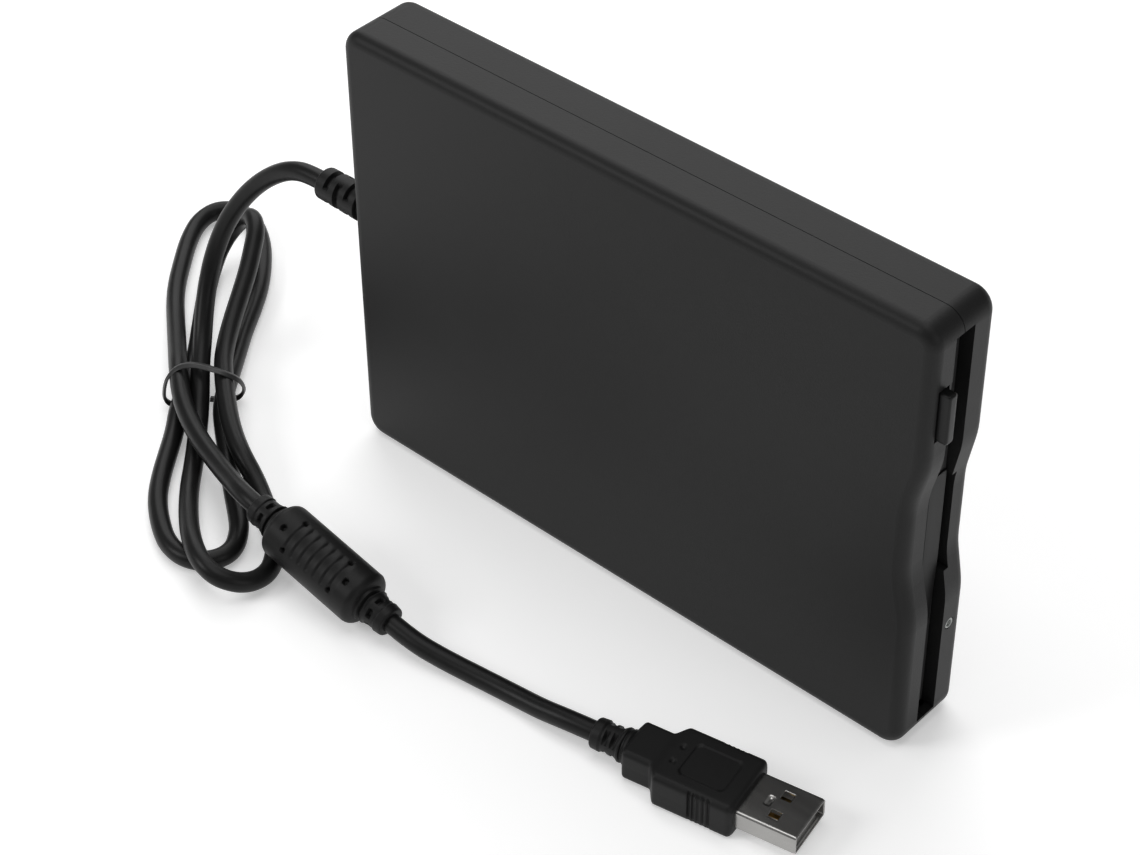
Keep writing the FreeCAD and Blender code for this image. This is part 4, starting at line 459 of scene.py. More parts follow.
def outline(flat_side, flat_over, arc=6):
    """The walk round a rounded rectangle, as three arrays: where each point's corner centre lies
    between -1 and 1 in the two directions, and the way its skin faces. It starts at the lower end
    of the side, and flat_side and flat_over are the stops along the two kinds of flat."""
    corner = np.linspace(0.0, math.pi / 2, arc + 1)[1:-1]
    ones, level = np.ones_like(corner), np.ones_like(flat_over)
    flat = np.ones_like(flat_side)
    right = math.pi / 2
    pieces = [
        (level, flat_over, 0 * level), (ones, ones, corner),
        (flat_side[::-1], flat, flat * right), (-ones, ones, corner + right),
        (-level, flat_over[::-1], level * 2 * right), (-ones, -ones, corner + 2 * right),
        (flat_side, -flat, flat * 3 * right), (ones, -ones, corner + 3 * right),
    ]
    return [np.concatenate(part)[None] for part in zip(*pieces)]


def rounded(walk, half_side, half_over, corner, pressed=0.0):
    """The two offsets of a rounded rectangle's points: the corner centre's place, plus the corner
    radius less what is pressed in, along the way the skin faces."""
    centre_side, centre_over, facing = walk
    return (centre_side * (half_side - corner) + (corner - pressed) * np.cos(facing),
            centre_over * (half_over - corner) + (corner - pressed) * np.sin(facing))


# %% [markdown]
# ## The grip's form
#
# Three lengths are blended along the plug by smooth steps: the cuff that relieves the cord, the
# neck, and the wide grip. The cuff is round, because its corner is as large as its half width.

# %% The grip's form
PLUG_START = (28.2, -46.8, 4.2)
PLUG_TURN = math.radians(10.6)
PLUG_ALONG = (math.cos(PLUG_TURN), math.sin(PLUG_TURN), 0.0)
NECK, SHOULDER, GRIP, FACE = 8.3, 14.6, 17.3, 34.0
CUFF_RADIUS, CUFF_GROWTH, CUFF_ROUND, REAR_ROUND, FACE_ROUND = 3.2, 0.6, 0.4, 0.9, 1.1
NECK_SIDE, NECK_OVER, NECK_CORNER = 5.0, 3.8, 1.1
MORE_SIDE, MORE_OVER, MORE_CORNER = 2.75, 0.4, 0.2
GRIP_PACE, GRIP_END, NECK_STEP = 0.2, 1.2, 0.5

along = stations(FACE, GRIP_PACE, GRIP_END)
walk = outline(np.linspace(-1, 1, 40), np.linspace(-1, 1, 14))
neck, grip = ramp(along, NECK, NECK_STEP), ramp(along, (SHOULDER + GRIP) / 2, GRIP - SHOULDER)
cuff = CUFF_RADIUS + CUFF_GROWTH * along / NECK - drawn_in(along, CUFF_ROUND)
ends = drawn_in(FACE - along, FACE_ROUND) + drawn_in(along - NECK, REAR_ROUND) * neck
half_side = cuff * (1 - neck) + neck * (NECK_SIDE + MORE_SIDE * grip) - ends
half_over = cuff * (1 - neck) + neck * (NECK_OVER + MORE_OVER * grip) - ends
corner = np.minimum(cuff * (1 - neck) + neck * (NECK_CORNER + MORE_CORNER * grip), half_over)
side, over = rounded(walk, half_side, half_over, corner)
print(f"the grip is {2 * half_side.max():.1f} mm wide and {FACE - NECK:.1f} mm long")

# %% [markdown]
# ## What is pressed into the grip
#
# The skin has slots and waists in the cuff, a sunk bare panel and two pin marks on each broad face,
# five notches on each narrow side for the fingers, and a fine parting line. Each is a depth, one
# number for every point of the grid, and their sum moves the skin in along its own normal. That
# keeps one closed surface, where cutters that overlap would leave a ragged one.

# %% What is pressed into the grip
CUFF_SLOTS = {"places": (3.4, 5.2), "width": 0.85, "depth": 0.9, "bridges": 4,
              "half_bridge": math.radians(24), "first_turn": math.radians(85), "step_turn": 0.0}
CUFF_WAISTS, CUFF_WAIST_DEPTH = ((2.2, 6.2, 0.3), (6.9, 7.5, 0.25)), 0.35
RECESS_MIDDLE, RECESS_HALF_LONG, RECESS_HALF_SIDE, RECESS_DEPTH = 25.4, 5.0, 4.3, 0.3
RECESS_INSET, RECESS_CORNER, RECESS_SOFT = 1.4, 1.45, 0.35
PIN_PLACES, PIN_RADIUS, PIN_DEPTH = ((18.4, 2.0), (18.4, -2.2)), 0.5, 0.4
NOTCH_START, NOTCH_PITCH, NOTCH_COUNT = 24.9, 1.05, 5
NOTCH_HALF, NOTCH_SOFT, NOTCH_DEPTH = 0.27, 0.25, 0.4
PARTING_HALF, PARTING_SOFT, PARTING_DEPTH = 0.16, 0.2, 0.1
STRAIGHT_ON, MOSTLY_ON = 0.999, 0.7

over_facing, side_facing = np.abs(np.sin(walk[2])), np.abs(np.cos(walk[2]))
broad_skin = over_facing > STRAIGHT_ON
pressed = slots(along, np.arctan2(over, side), **CUFF_SLOTS) * (1 - neck)
waists = sum(band(along, start, stop, soft) for start, stop, soft in CUFF_WAISTS)
pressed = pressed + CUFF_WAIST_DEPTH * waists * (1 - neck)
ahead, aside = np.abs(along - RECESS_MIDDLE), np.abs(side)
past_corner = np.hypot(np.maximum(ahead - RECESS_HALF_LONG + RECESS_INSET, 0),
                       np.maximum(aside - RECESS_HALF_SIDE + RECESS_INSET, 0))
recess = 1 - ramp(ahead, RECESS_HALF_LONG, RECESS_SOFT)
recess = recess * (1 - ramp(aside, RECESS_HALF_SIDE, RECESS_SOFT))
recess = recess * (1 - ramp(past_corner, RECESS_CORNER, CUT_SOFT))
pressed = pressed + RECESS_DEPTH * broad_skin * recess
for place, offset in PIN_PLACES:
    pin = 1 - ramp(np.hypot(along - place, side - offset), PIN_RADIUS, CUT_SOFT)
    pressed = pressed + PIN_DEPTH * broad_skin * pin
notches = sum(band(along, place - NOTCH_HALF, place + NOTCH_HALF, NOTCH_SOFT)
              for place in NOTCH_START + NOTCH_PITCH * np.arange(NOTCH_COUNT))
pressed = pressed + NOTCH_DEPTH * notches * (side_facing > MOSTLY_ON)
parting = band(over, -PARTING_HALF, PARTING_HALF, PARTING_SOFT) * (side_facing > STRAIGHT_ON)
pressed = pressed + PARTING_DEPTH * neck * parting
plug_line = straight(PLUG_START, PLUG_ALONG, along)
build("plug_grip", [capped(sweep(plug_line, *rounded(walk, half_side, half_over, corner, pressed)))],
      "mould_black", "housing", "plug_body")

# %% [markdown]
# ## The plug's shell
#
# The shell is thin nickel-plated sheet folded into a tube, with two square windows in each broad
# face for the socket's springs, and a small stamped dimple. It is an open grid whose lines pass
# through the windows' edges. The faces inside a window are left out, and Solidify gives the sheet
# its thickness, so the windows show their edges. Cutting the windows out of a finished tube would
# work too, but it splits the smooth faces round them into slivers.

# %% The plug's shell
SHELL_START, SHELL_END = 28.0, 47.0
WINDOW_START, WINDOW_SIZE, WINDOW_PITCH = 39.6, 2.2, 5.2
SHELL_SIDE, SHELL_OVER, SHELL_CORNER, SHEET = 6.0, 2.25, 0.6, 0.3
STAMP_PLACE, STAMP_HALF, STAMP_RADIUS, STAMP_DEPTH = 38.2, 0.75, 0.5, 0.38
LIP_LENGTH, LIP_SOFT, LIP_DEPTH = 0.35, 0.6, 0.12
SHELL_RINGS, SHELL_COLUMNS = 77, 45

window_edges = [sign * (WINDOW_PITCH / 2 + step * WINDOW_SIZE / 2)
                for sign in (-1, 1) for step in (-1, 1)]
flat = SHELL_SIDE - SHELL_CORNER
broad = np.unique(np.concatenate([np.linspace(-flat, flat, SHELL_COLUMNS), window_edges])) / flat
walk = outline(broad, np.linspace(-1, 1, 7), 5)
along = np.unique(np.concatenate([
    np.linspace(SHELL_START, SHELL_END, SHELL_RINGS),
    [WINDOW_START, WINDOW_START + WINDOW_SIZE]]))[:, None]
side, over = rounded(walk, SHELL_SIDE, SHELL_OVER, SHELL_CORNER)
from_stamp = np.hypot(along - STAMP_PLACE, np.maximum(np.abs(side) - STAMP_HALF, 0.0))
stamp = (np.sin(walk[2]) > STRAIGHT_ON) * (1 - ramp(from_stamp, STAMP_RADIUS, STAMP_RADIUS))
pressed = STAMP_DEPTH * stamp + LIP_DEPTH * ramp(along, SHELL_END - LIP_LENGTH, LIP_SOFT)
shell_line = straight(PLUG_START, PLUG_ALONG, along)
shell_grid = sweep(shell_line, *rounded(walk, SHELL_SIDE, SHELL_OVER, SHELL_CORNER, pressed))


def in_window(middles):
    """Marks the faces whose middles lie in one of the square windows."""
    local = middles - np.array(PLUG_START)
    ahead = local @ np.array(PLUG_ALONG)
    aside = np.abs(local @ np.array([-PLUG_ALONG[1], PLUG_ALONG[0], 0.0]))
    broad_face = np.abs(local[:, 2]) > SHELL_OVER - 0.05
    return (broad_face & (np.abs(ahead - WINDOW_START - WINDOW_SIZE / 2) < WINDOW_SIZE / 2)
            & (np.abs(aside - WINDOW_PITCH / 2) < WINDOW_SIZE / 2))


shell = build("plug_sheath", [shell_grid], "shell_nickel", "housing", "plug_shell",
              sharp=35.0, dropped=in_window)
sheet = shell.modifiers.new("sheet", "SOLIDIFY")
sheet.thickness, sheet.offset = SHEET * MM, -1.0
sheet.use_quality_normals = True

# %% [markdown]
# ## The wire tie
#
# A plastic ribbon with a wire in it holds the hank. It passes once round the strands at their waist,
# loosely on one side, and its two ends come close together underneath. Its path is a spline of
# given points like the cord's. Its section is a thin lens with a ridge where the wire runs, and
# it leads with the hank's own direction, so the flat side always faces the strands.

# %% The wire tie
TIE_POINTS = [
    (-105.7, -25.9, 0.75), (-102.0, -22.8, 0.7), (-100.4, -21.4, 1.6), (-99.3, -20.9, 4.2),
    (-99.3, -22.2, 7.6), (-100.8, -24.4, 9.8), (-103.2, -25.9, 10.6), (-106.4, -27.0, 10.7),
    (-108.8, -28.4, 10.6), (-110.8, -30.4, 9.8), (-111.9, -32.4, 7.6), (-111.9, -33.6, 5.0),
    (-111.5, -34.2, 2.4), (-110.2, -32.9, 0.8), (-108.0, -30.2, 0.7), (-105.7, -27.3, 0.75),
]
HANK_WAY = np.array([1.0, -1.0, 0.0]) / math.sqrt(2.0)
TIE_WIDE, TIE_THIN, TIE_WIRE, WIRE_WIDE = 1.0, 0.26, 0.42, 0.35

tie_line = spline_line("tie_line", TIE_POINTS, 10)
turn = turns(28)
ridge = TIE_THIN + (TIE_WIRE - TIE_THIN) * np.exp(-((np.cos(turn) / WIRE_WIDE) ** 2))
tie_grid = capped(sweep(tie_line, ridge * np.sin(turn), -TIE_WIDE * np.cos(turn), HANK_WAY))
build("tie_ribbon", [tie_grid], "tie_black", "housing", "twist_tie")

# %% [markdown]
# ## The eject button and the rib beside it
#
# The eject button is a narrow bar whose edges are rounded, so that a thin line of light runs along
# each. A slim rib closes the case's edge behind it. Both are rounded rectangles carried along a
# straight line. A bevelled box would look the same, but this way the helpers above do all the work.

# %% The button and the rib
ALONG_X, ALONG_Z = (1.0, 0.0, 0.0), (0.0, 0.0, 1.0)
BAR_WALK = outline(np.linspace(-1, 1, 4), np.linspace(-1, 1, 8))
BUTTON_FOOT, BUTTON_LENGTH, BUTTON_ROUND = (66.0, -5.475, 84.35), 9.3, 0.5
BUTTON_SIDE, BUTTON_OVER, BUTTON_CORNER = 1.125, 5.6, 0.45
RIB_FOOT, RIB_LENGTH, RIB_ROUND = (71.75, -3.42, 78.3), 12.1, 0.25
RIB_SIDE, RIB_OVER, RIB_CORNER = 0.33, 1.15, 0.08

along = stations(BUTTON_LENGTH, 0.5, BUTTON_ROUND)
front = drawn_in(BUTTON_LENGTH - along, BUTTON_ROUND)
button = rounded(BAR_WALK, BUTTON_SIDE - front, BUTTON_OVER - front, BUTTON_CORNER)
build("eject_cap", [capped(sweep(straight(BUTTON_FOOT, ALONG_X, along), *button))],
      "button_black", "slide", "eject_button", sharp=60.0)

along = stations(RIB_LENGTH, 0.6, RIB_ROUND)
ends = drawn_in(np.minimum(along, RIB_LENGTH - along), RIB_ROUND)
rib = rounded(BAR_WALK, RIB_SIDE - ends, RIB_OVER - ends, RIB_CORNER)
build("case_rib", [capped(sweep(straight(RIB_FOOT, ALONG_Z, along), *rib, ALONG_X))],
      "case_black", "housing", sharp=60.0)

# %% [markdown]
# ## The door's pad and the slot's linings
#
# The dust door carries a raised pad that rises by a slope until it is flush with the finger scoop,
# and ends in a sharp step. It is a bar again, whose thickness changes on the way. Two linings carry
# the slot's far side on behind the case's wall, so that nobody looks past the door into the drive.

# %% The door's pad and the slot's linings
PAD_BACK, PAD_Y, PAD_FOOT, PAD_TOP = 69.9, -0.58, 27.0, 65.3
PAD_SIDE, PAD_CORNER, PAD_THIN, PAD_RISE = 2.47, 0.12, 0.34, 0.41
SLOPE_MIDDLE, SLOPE_LENGTH = 9.0, 15.0
LINING_X, LINING_Y, LINING_SPANS = 70.05, 2.68, ((4.1, 38.0), (66.0, 99.9))
LINING_SIDE, LINING_OVER, LINING_CORNER = 0.27, 1.1, 0.05

along = stations(PAD_TOP - PAD_FOOT, 0.6, 0.2)
thick = PAD_THIN + PAD_RISE * ramp(along, SLOPE_MIDDLE, SLOPE_LENGTH)
line = np.column_stack([PAD_BACK + thick / 2, np.full_like(along, PAD_Y), PAD_FOOT + along])
pad_grid = sweep(line, *rounded(BAR_WALK, PAD_SIDE, thick / 2, PAD_CORNER), ALONG_X)
build("door_pad", [capped(pad_grid)], "guide_black", "door", sharp=50.0)

linings = []
for foot, head in LINING_SPANS:
    line = straight((LINING_X, LINING_Y, foot), ALONG_Z, stations(head - foot, 2.0, 0.1))
    section = rounded(BAR_WALK, LINING_SIDE, LINING_OVER, LINING_CORNER)
    linings.append(capped(sweep(line, *section, ALONG_X)))
build("slot_linings", linings, "case_black", "housing", sharp=50.0)

# %% [markdown]
# ## The seam's tongue
#
# The two halves of the case meet in a fine seam. A thin tongue in the middle of the wall bridges it,
# so no light passes from end to end. It follows the case's outline at half the wall's depth, round
# all four corners, and stops at both ends of the disk slot. It is a small rounded bar carried along
# straight runs that parts of circles join. The corners are complex numbers, which turn and shift
# with plain arithmetic. The case's two halves themselves stay as the solid model has them.

# %% The seam's tongue
SEAM_Y, TONGUE_INSET, TONGUE_CORNER = -0.62, 1.0, 3.5
TONGUE_SIDE, TONGUE_OVER, TONGUE_EDGE = 0.25, 0.45, 0.1
CASE_REAR, CASE_FRONT, CASE_HEIGHT = -73.0, 73.0, 104.0
SLOT_END_TURN = math.radians(15.0)

inward = TONGUE_INSET + TONGUE_CORNER
rear_turn = np.linspace(math.pi / 2, math.pi, 9)
fore_turn = np.linspace(SLOT_END_TURN, math.pi / 2, 9)
corners = TONGUE_CORNER * np.exp(1j * np.concatenate([fore_turn, rear_turn]))
corners += np.repeat([CASE_FRONT - inward, CASE_REAR + inward], 9)
path_x = np.concatenate([corners.real, corners.real[::-1]])
path_z = np.concatenate([CASE_HEIGHT - inward + corners.imag, inward - corners.imag[::-1]])
path = np.column_stack([path_x, np.full_like(path_x, SEAM_Y), path_z])
section = rounded(BAR_WALK, TONGUE_SIDE, TONGUE_OVER, TONGUE_EDGE)
build("seam_tongue", [capped(sweep(path, *section, (0.0, 1.0, 0.0)))], "case_black", "housing",
      sharp=60.0)

# %% [markdown]
# ## The light's lens
#
# The activity light shows through a small clear lens with a raised rim and a dished middle. It is
# turned, so a profile of distances along the axis and away from it gives the whole lens. A Screw
# modifier would turn it as well, but the screws below need the points themselves.

# %% The lens
LENS_PLACE = (4.7, 25.3)
LENS_PROFILE = np.array([
    (68.8, 0.0), (68.8, 1.2), (72.7, 1.2), (72.9, 1.15), (73.0, 1.0), (72.95, 0.85), (72.7, 0.75),
    (72.7, 0.62), (72.82, 0.4), (72.9, 0.2), (72.92, 0.0),
])


def turned(profile, place, sides=40):
    """A profile of (distance along X, distance from the axis) turned about the line along X through
    (y, z): every point is (x, y + r cos a, z + r sin a)."""
    turn = turns(sides)
    across, away = profile[:, :1], profile[:, 1:]
    return np.stack([np.broadcast_to(across, (len(profile), sides)),
                     place[0] + away * np.cos(turn), place[1] + away * np.sin(turn)], axis=-1)


build("light_window", [turned(LENS_PROFILE, LENS_PLACE)], "lens_clear", "housing", "led_lens")

# %% [markdown]
# ## The case screws
#
# Two screws close the case from its far face. Each is turned like the lens, and then its head gets a
# cross for the driver: the points of the head's face that lie inside a plus sign are pushed in. The
# turning axis runs through the case, so the profile is turned about Y.

# %% The case screws
SCREW_AT, SCREW_SIDES = ((-66.0, 9.0), (-66.0, 95.0)), 64
SHANK_END, SCREW_HEAD, FACE_RADIUS = -2.0, 8.6, 1.6
CROSS_REACH, CROSS_HALF, CROSS_DEPTH, CROSS_SOFT = 1.15, 0.3, 0.75, 0.16

face_rings = np.linspace(FACE_RADIUS, 0.0, 15)
screw_profile = np.vstack([
    [(SHANK_END, 0.0), (SHANK_END + 0.8, 0.85), (SCREW_HEAD - 1.2, 0.9), (SCREW_HEAD - 1.2, 1.75),
     (SCREW_HEAD - 1.1, 1.9), (SCREW_HEAD - 0.3, 1.9), (SCREW_HEAD - 0.1, 1.8)],
    np.column_stack([np.full_like(face_rings, SCREW_HEAD), face_rings])])
screws = []
for place_x, place_z in SCREW_AT:
    grid = turned(screw_profile, (place_z, place_x), SCREW_SIDES)[..., [2, 0, 1]]
    aside, up = np.abs(grid[..., 0] - place_x), np.abs(grid[..., 2] - place_z)
    narrow, wide = np.minimum(aside, up), np.maximum(aside, up)
    cross = (1 - ramp(narrow, CROSS_HALF, CROSS_SOFT)) * (1 - ramp(wide, CROSS_REACH, CROSS_SOFT))
    grid[..., 1] -= CROSS_DEPTH * cross * (grid[..., 1] > SCREW_HEAD - 0.01)
    screws.append(grid)
build("cover_screws", screws, "screw_steel", "housing", "case_screws")

# %% [markdown]
# ## The slide's springs
#
# Two slim coil springs work between the slide and the drive's frame. A coil is a thin wire carried
# along a helix, and the helix takes its size from the plain sleeve in the solid model. One end
# travels with the slide and the other stays, but this piece rides on no body: it stays where the
# model has it, and the coil doesn't open or close as the slide moves.

# %% The slide's springs
WIRE_RADIUS, WIRE_SIDES, COIL_PITCH, COIL_STEPS = 0.14, 8, 0.88, 18


def box_mm(node):
    """The lowest and the highest corner of one of the model's parts, in millimetres."""
    return [np.array(corner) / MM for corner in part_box(node)]


low, high = box_mm("slide_springs")
coil_y, coil_radius = (low[1] + high[1]) / 2, (high[1] - low[1]) / 2 - WIRE_RADIUS
wound = FULL_TURN * (high[0] - low[0] - 2 * WIRE_RADIUS) / COIL_PITCH
spin = np.arange(0.0, wound, FULL_TURN / COIL_STEPS)
helix = np.column_stack([low[0] + WIRE_RADIUS + spin * COIL_PITCH / FULL_TURN,
                         coil_y + coil_radius * np.cos(spin), coil_radius * np.sin(spin)])
wire = round_ring(WIRE_RADIUS, turns(WIRE_SIDES))
coils = [capped(sweep(helix + (0.0, 0.0, coil_z), *wire, ALONG_X))
         for coil_z in (low[2] + coil_radius + WIRE_RADIUS, high[2] - coil_radius - WIRE_RADIUS)]
slide_coils = build("slide_coils", coils, "spring_steel", None, "slide_springs")
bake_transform(slide_coils)

# %% [markdown]
# ## The heads' strip
#
# A flexible strip joins the moving heads to their board. It is a flat bar in many short lengths.
# In the drive its foot stays clamped and its top follows the carriage, but this piece rides on no
# body and stays where the model has it.

# %% The heads' strip
STRIP_LENGTHS, STRIP_CLAMP, STRIP_EDGE = 40, 2.0, 0.4

low, high = box_mm("head_ribbon")
centre, half = (low + high) / 2, (high - low) / 2
strip_line = np.column_stack([np.full(STRIP_LENGTHS, centre[0]), np.full(STRIP_LENGTHS, centre[1]),
                              np.linspace(low[2], high[2], STRIP_LENGTHS)])
section = rounded(BAR_WALK, half[1], half[0], STRIP_EDGE * half[1])
head_strip = build("head_strip", [capped(sweep(strip_line, *section, ALONG_X))], "ribbon_amber",
                   None, "head_ribbon", sharp=50.0)
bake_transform(head_strip)

# %% [markdown]
# ## Shader arithmetic
#
# A surface's grain, wear and shine are numbers that vary from place to place. Linking Math nodes by
# hand takes three lines for each sum. The class below wraps such a number instead, so that plain
# Python arithmetic on it adds the nodes.

# %% A varying number


class Value:
    """A number that varies over a surface. Arithmetic on it adds Math nodes."""

    def __init__(self, finish, socket):
        self.finish = finish
        self.socket = socket

    def math(self, operation, *inputs):
        """One Math node on some values."""
        node = self.finish.node("ShaderNodeMath", {"operation": operation}, dict(enumerate(inputs)))
        return Value(self.finish, node.outputs[0])

    def __add__(self, other):
        return self.math("ADD", self, other)

    def __sub__(self, other):
        return self.math("SUBTRACT", self, other)

    def __rsub__(self, other):
        return self.math("SUBTRACT", other, self)

    def __mul__(self, other):
        return self.math("MULTIPLY", self, other)

    def __pow__(self, other):
        return self.math("POWER", self, other)

    __radd__ = __add__
    __rmul__ = __mul__

    def fade(self, low, high):
        """A smooth step from nought at low to one at high."""
        settings = {"interpolation_type": "SMOOTHSTEP"}
        sockets = {"Value": self, "From Min": low, "From Max": high}
        return Value(self.finish, self.finish.node("ShaderNodeMapRange", settings, sockets).outputs[0])


# %% [markdown]
# ## A finish under construction
#
# A finish is one material that is being made. It makes any node from its type, its settings and its
# inputs, offers the few patterns that this drive needs, and feeds the results to one shader. The
# patterns read the object's own coordinates in metres, so they keep their size and don't swim when a
# part moves.

# %% A finish under construction


class Finish:
    """A material under construction, round one Principled shader."""

    def __init__(self, name, **constants):
        self.material = bpy.data.materials.new(name)
        self.material.use_nodes = True
        self.tree = self.material.node_tree
        self.shader = self.tree.nodes["Principled BSDF"]
        for key, value in constants.items():
            socket = key.replace("_", " ").title().replace("Ior", "IOR")
            self.shader.inputs[socket].default_value = value
        self.coordinates = self.node("ShaderNodeTexCoord").outputs["Object"]

    def node(self, kind, settings=None, sockets=None):
        """A node of a type: its settings first, then its inputs' values or links."""
        made = self.tree.nodes.new(kind)
        for key, value in (settings or {}).items():
            setattr(made, key, value)
        for key, value in (sockets or {}).items():
            value = value.socket if isinstance(value, Value) else value
            if isinstance(value, bpy.types.NodeSocket):
                self.tree.links.new(value, made.inputs[key])
            else:
                made.inputs[key].default_value = value
        return made

    def stretched(self, scale):
        """The object's coordinates times a factor for each axis, to draw a pattern out one way."""
        sockets = {"Vector": self.coordinates, "Scale": scale}
        return self.node("ShaderNodeMapping", {"vector_type": "POINT"}, sockets).outputs[0]

    def noise(self, scale, detail=2.0, where=None):
        """Soft random patches; scale is how many there are in a metre."""
        sockets = {"Vector": where or self.coordinates, "Scale": scale, "Detail": detail}
        return Value(self, self.node("ShaderNodeTexNoise", None, sockets).outputs["Fac"])

    def cells(self, scale):
        """The distance to the nearest of many scattered points, for speckles."""
        sockets = {"Vector": self.coordinates, "Scale": scale}
        return Value(self, self.node("ShaderNodeTexVoronoi", None, sockets).outputs["Distance"])

    def blend(self, factor, low, high):
        """A colour between two colours, each of which may itself be blended."""
        node = self.tree.nodes.new("ShaderNodeMix")
        node.data_type = "RGBA"
        factor_in, low_in, high_in = node.inputs[0], node.inputs[6], node.inputs[7]
        self.tree.links.new(factor.socket, factor_in)
        for colour, socket in ((low, low_in), (high, high_in)):
            if isinstance(colour, bpy.types.NodeSocket):
                self.tree.links.new(colour, socket)
            else:
                socket.default_value = (*colour, 1.0)
        return node.outputs[2]

    def feed(self, **inputs):
        """Links varying inputs to the shader."""
        for key, value in inputs.items():
            socket = value.socket if isinstance(value, Value) else value
            self.tree.links.new(socket, self.shader.inputs[key.replace("_", " ").title()])
        return self

    def bump(self, height, depth):
        """Relief from a varying height; depth is its full height in millimetres."""
        sockets = {"Height": height, "Distance": depth * MM, "Strength": 1.0}
        relief = self.node("ShaderNodeBump", None, sockets)
        self.tree.links.new(relief.outputs["Normal"], self.shader.inputs["Normal"])
        return self


def grey(level):
    """A neutral colour."""
    return (level, level, level)


# %% [markdown]
# ## Black plastics
#
# The case is moulded in a spark-eroded tool, which leaves a fine even grain that breaks the light
# into a soft sheen. The grain is two noises, of about four tenths and one tenth of a millimetre. A
# few broad, very faint patches stop the big faces from looking painted. The sleeve, plug and reliefs
# are darker and have a shallower grain. The other plastics differ in the same few numbers, so one
# function and one list of rows make them all.

# %% Plastics and rubbers
DULL, USUAL = 0.19, 0.5
PLASTICS = {
    # name: dark and light tone, ends of the roughness, grains in a metre, their height, shine
    "case_black": ((0.009, 0.012), (0.42, 0.50), 2400.0, 0.04, DULL),
    "button_black": ((0.006, 0.008), (0.30, 0.38), 3000.0, 0.01, DULL),
    # door_black is paler than the case's black as painted fill light, so the door's flap, in shade
    # inside the slot, isn't lost in black.
    "door_black": ((0.020, 0.026), (0.42, 0.52), 2800.0, 0.02, DULL),
    "guide_black": ((0.006, 0.009), (0.46, 0.56), 2800.0, 0.02, DULL),
    "foot_rubber": ((0.012, 0.020), (0.72, 0.86), 2600.0, 0.06, USUAL),
    "mould_black": ((0.007, 0.011), (0.42, 0.52), 2400.0, 0.02, DULL),
    "tie_black": ((0.010, 0.015), (0.36, 0.46), 2000.0, 0.02, USUAL),
    "chip_black": ((0.010, 0.018), (0.50, 0.62), 5200.0, 0.04, USUAL),
    "part_white": ((0.66, 0.74), (0.36, 0.46), 2600.0, 0.02, USUAL),
    "part_grey": ((0.20, 0.26), (0.40, 0.52), 2800.0, 0.03, USUAL),
}


def plastic(name, tone, rough, grain, grain_height, shine):
    """Moulded plastic. tone is the dark and light end of its colour, rough the two ends of its
    roughness, grain the number of grains in a metre, grain_height their height in millimetres and
    shine how strongly the skin mirrors."""
    made = Finish(name, specular_ior_level=shine)
    patches = made.noise(38.0, 3.0)
    grains = made.noise(grain, 2.0) * 0.65 + made.noise(grain * 3.1, 1.0) * 0.35
    blotches = patches.fade(0.3, 0.7) * 0.7 + grains * 0.3
    made.feed(
        base_color=made.blend(blotches, grey(tone[0]), grey(tone[1])),
        roughness=patches * (rough[1] - rough[0]) + rough[0],
    )
    return made.bump(grains, grain_height).material


MATERIALS = {name: plastic(name, *row) for name, row in PLASTICS.items()}
print(len(MATERIALS), "plastic finishes")

# %% [markdown]
# ## The cord's skin
#
# The cord's soft vinyl is smoother and glossier than the case. Its shine wavers along the cord, and
# a little dust lies on it. A thin, uneven coat gives the wavering shine over a duller base, which
# one roughness alone can't.

# %% The cord's skin


def cord_skin():
    """Soft vinyl: glossy, with a faint drawn grain and a little dust."""
    made = Finish("cord_black", coat_roughness=0.3, specular_ior_level=0.16)
    waves = made.noise(260.0, 3.0)
    dust = made.noise(2300.0, 4.0).fade(0.64, 0.82)
    made.feed(
        base_color=made.blend(dust * 0.35 + waves * 0.25, grey(0.0075), grey(0.020)),
        roughness=waves * 0.10 + dust * 0.18 + 0.33,
        coat_weight=waves * 0.06,
    )
    return made.bump(waves + dust * 0.4, 0.04).material


MATERIALS["cord_black"] = cord_skin()
print(len(MATERIALS), "finishes with the cord's")

# %% [markdown]
# ## Metals
#
# Pressed steel shows faint rolling lines along one direction. A noise that is squeezed across that
# direction draws them. Nickel on the plug's shell is smoother, with a little cloudy wear.
# Anisotropic shading would stretch the highlights too, but drawn lines can also be seen up close.

# %% Metals
METALS = {
    # name: dark and light colour, ends of the roughness, how far lines are drawn out, their height
    "frame_steel": (grey(0.42), grey(0.56), (0.28, 0.46), 40.0, 0.006),
    "shaft_steel": (grey(0.50), grey(0.62), (0.12, 0.24), 60.0, 0.006),
    "screw_steel": (grey(0.10), grey(0.16), (0.30, 0.42), 8.0, 0.006),
    "spring_steel": (grey(0.32), grey(0.44), (0.22, 0.34), 30.0, 0.006),
    "bearing_bronze": ((0.34, 0.19, 0.07), (0.48, 0.29, 0.12), (0.30, 0.42), 6.0, 0.006),
    "shell_nickel": ((0.33, 0.325, 0.315), (0.43, 0.425, 0.415), (0.20, 0.30), 12.0, 0.001),
    "contact_gold": ((0.68, 0.42, 0.12), (0.86, 0.58, 0.22), (0.20, 0.30), 14.0, 0.006),
}


def metal(name, dark, light, rough, lines, line_height):
    """Metal between two colours. rough is the two ends of its roughness, lines how strongly the
    pattern is drawn out along the piece, and line_height the relief in millimetres."""
    made = Finish(name, metallic=1.0)
    drawn = made.noise(60.0, 4.0, made.stretched((1.0, lines, lines)))
    clouds = made.noise(180.0, 3.0)
    made.feed(
        base_color=made.blend(drawn * 0.6 + clouds * 0.4, dark, light),
        roughness=drawn * (rough[1] - rough[0]) + rough[0],
    )
    return made.bump(drawn, line_height).material


MATERIALS.update({name: metal(name, *row) for name, row in METALS.items()})
print(len(METALS), "metals")

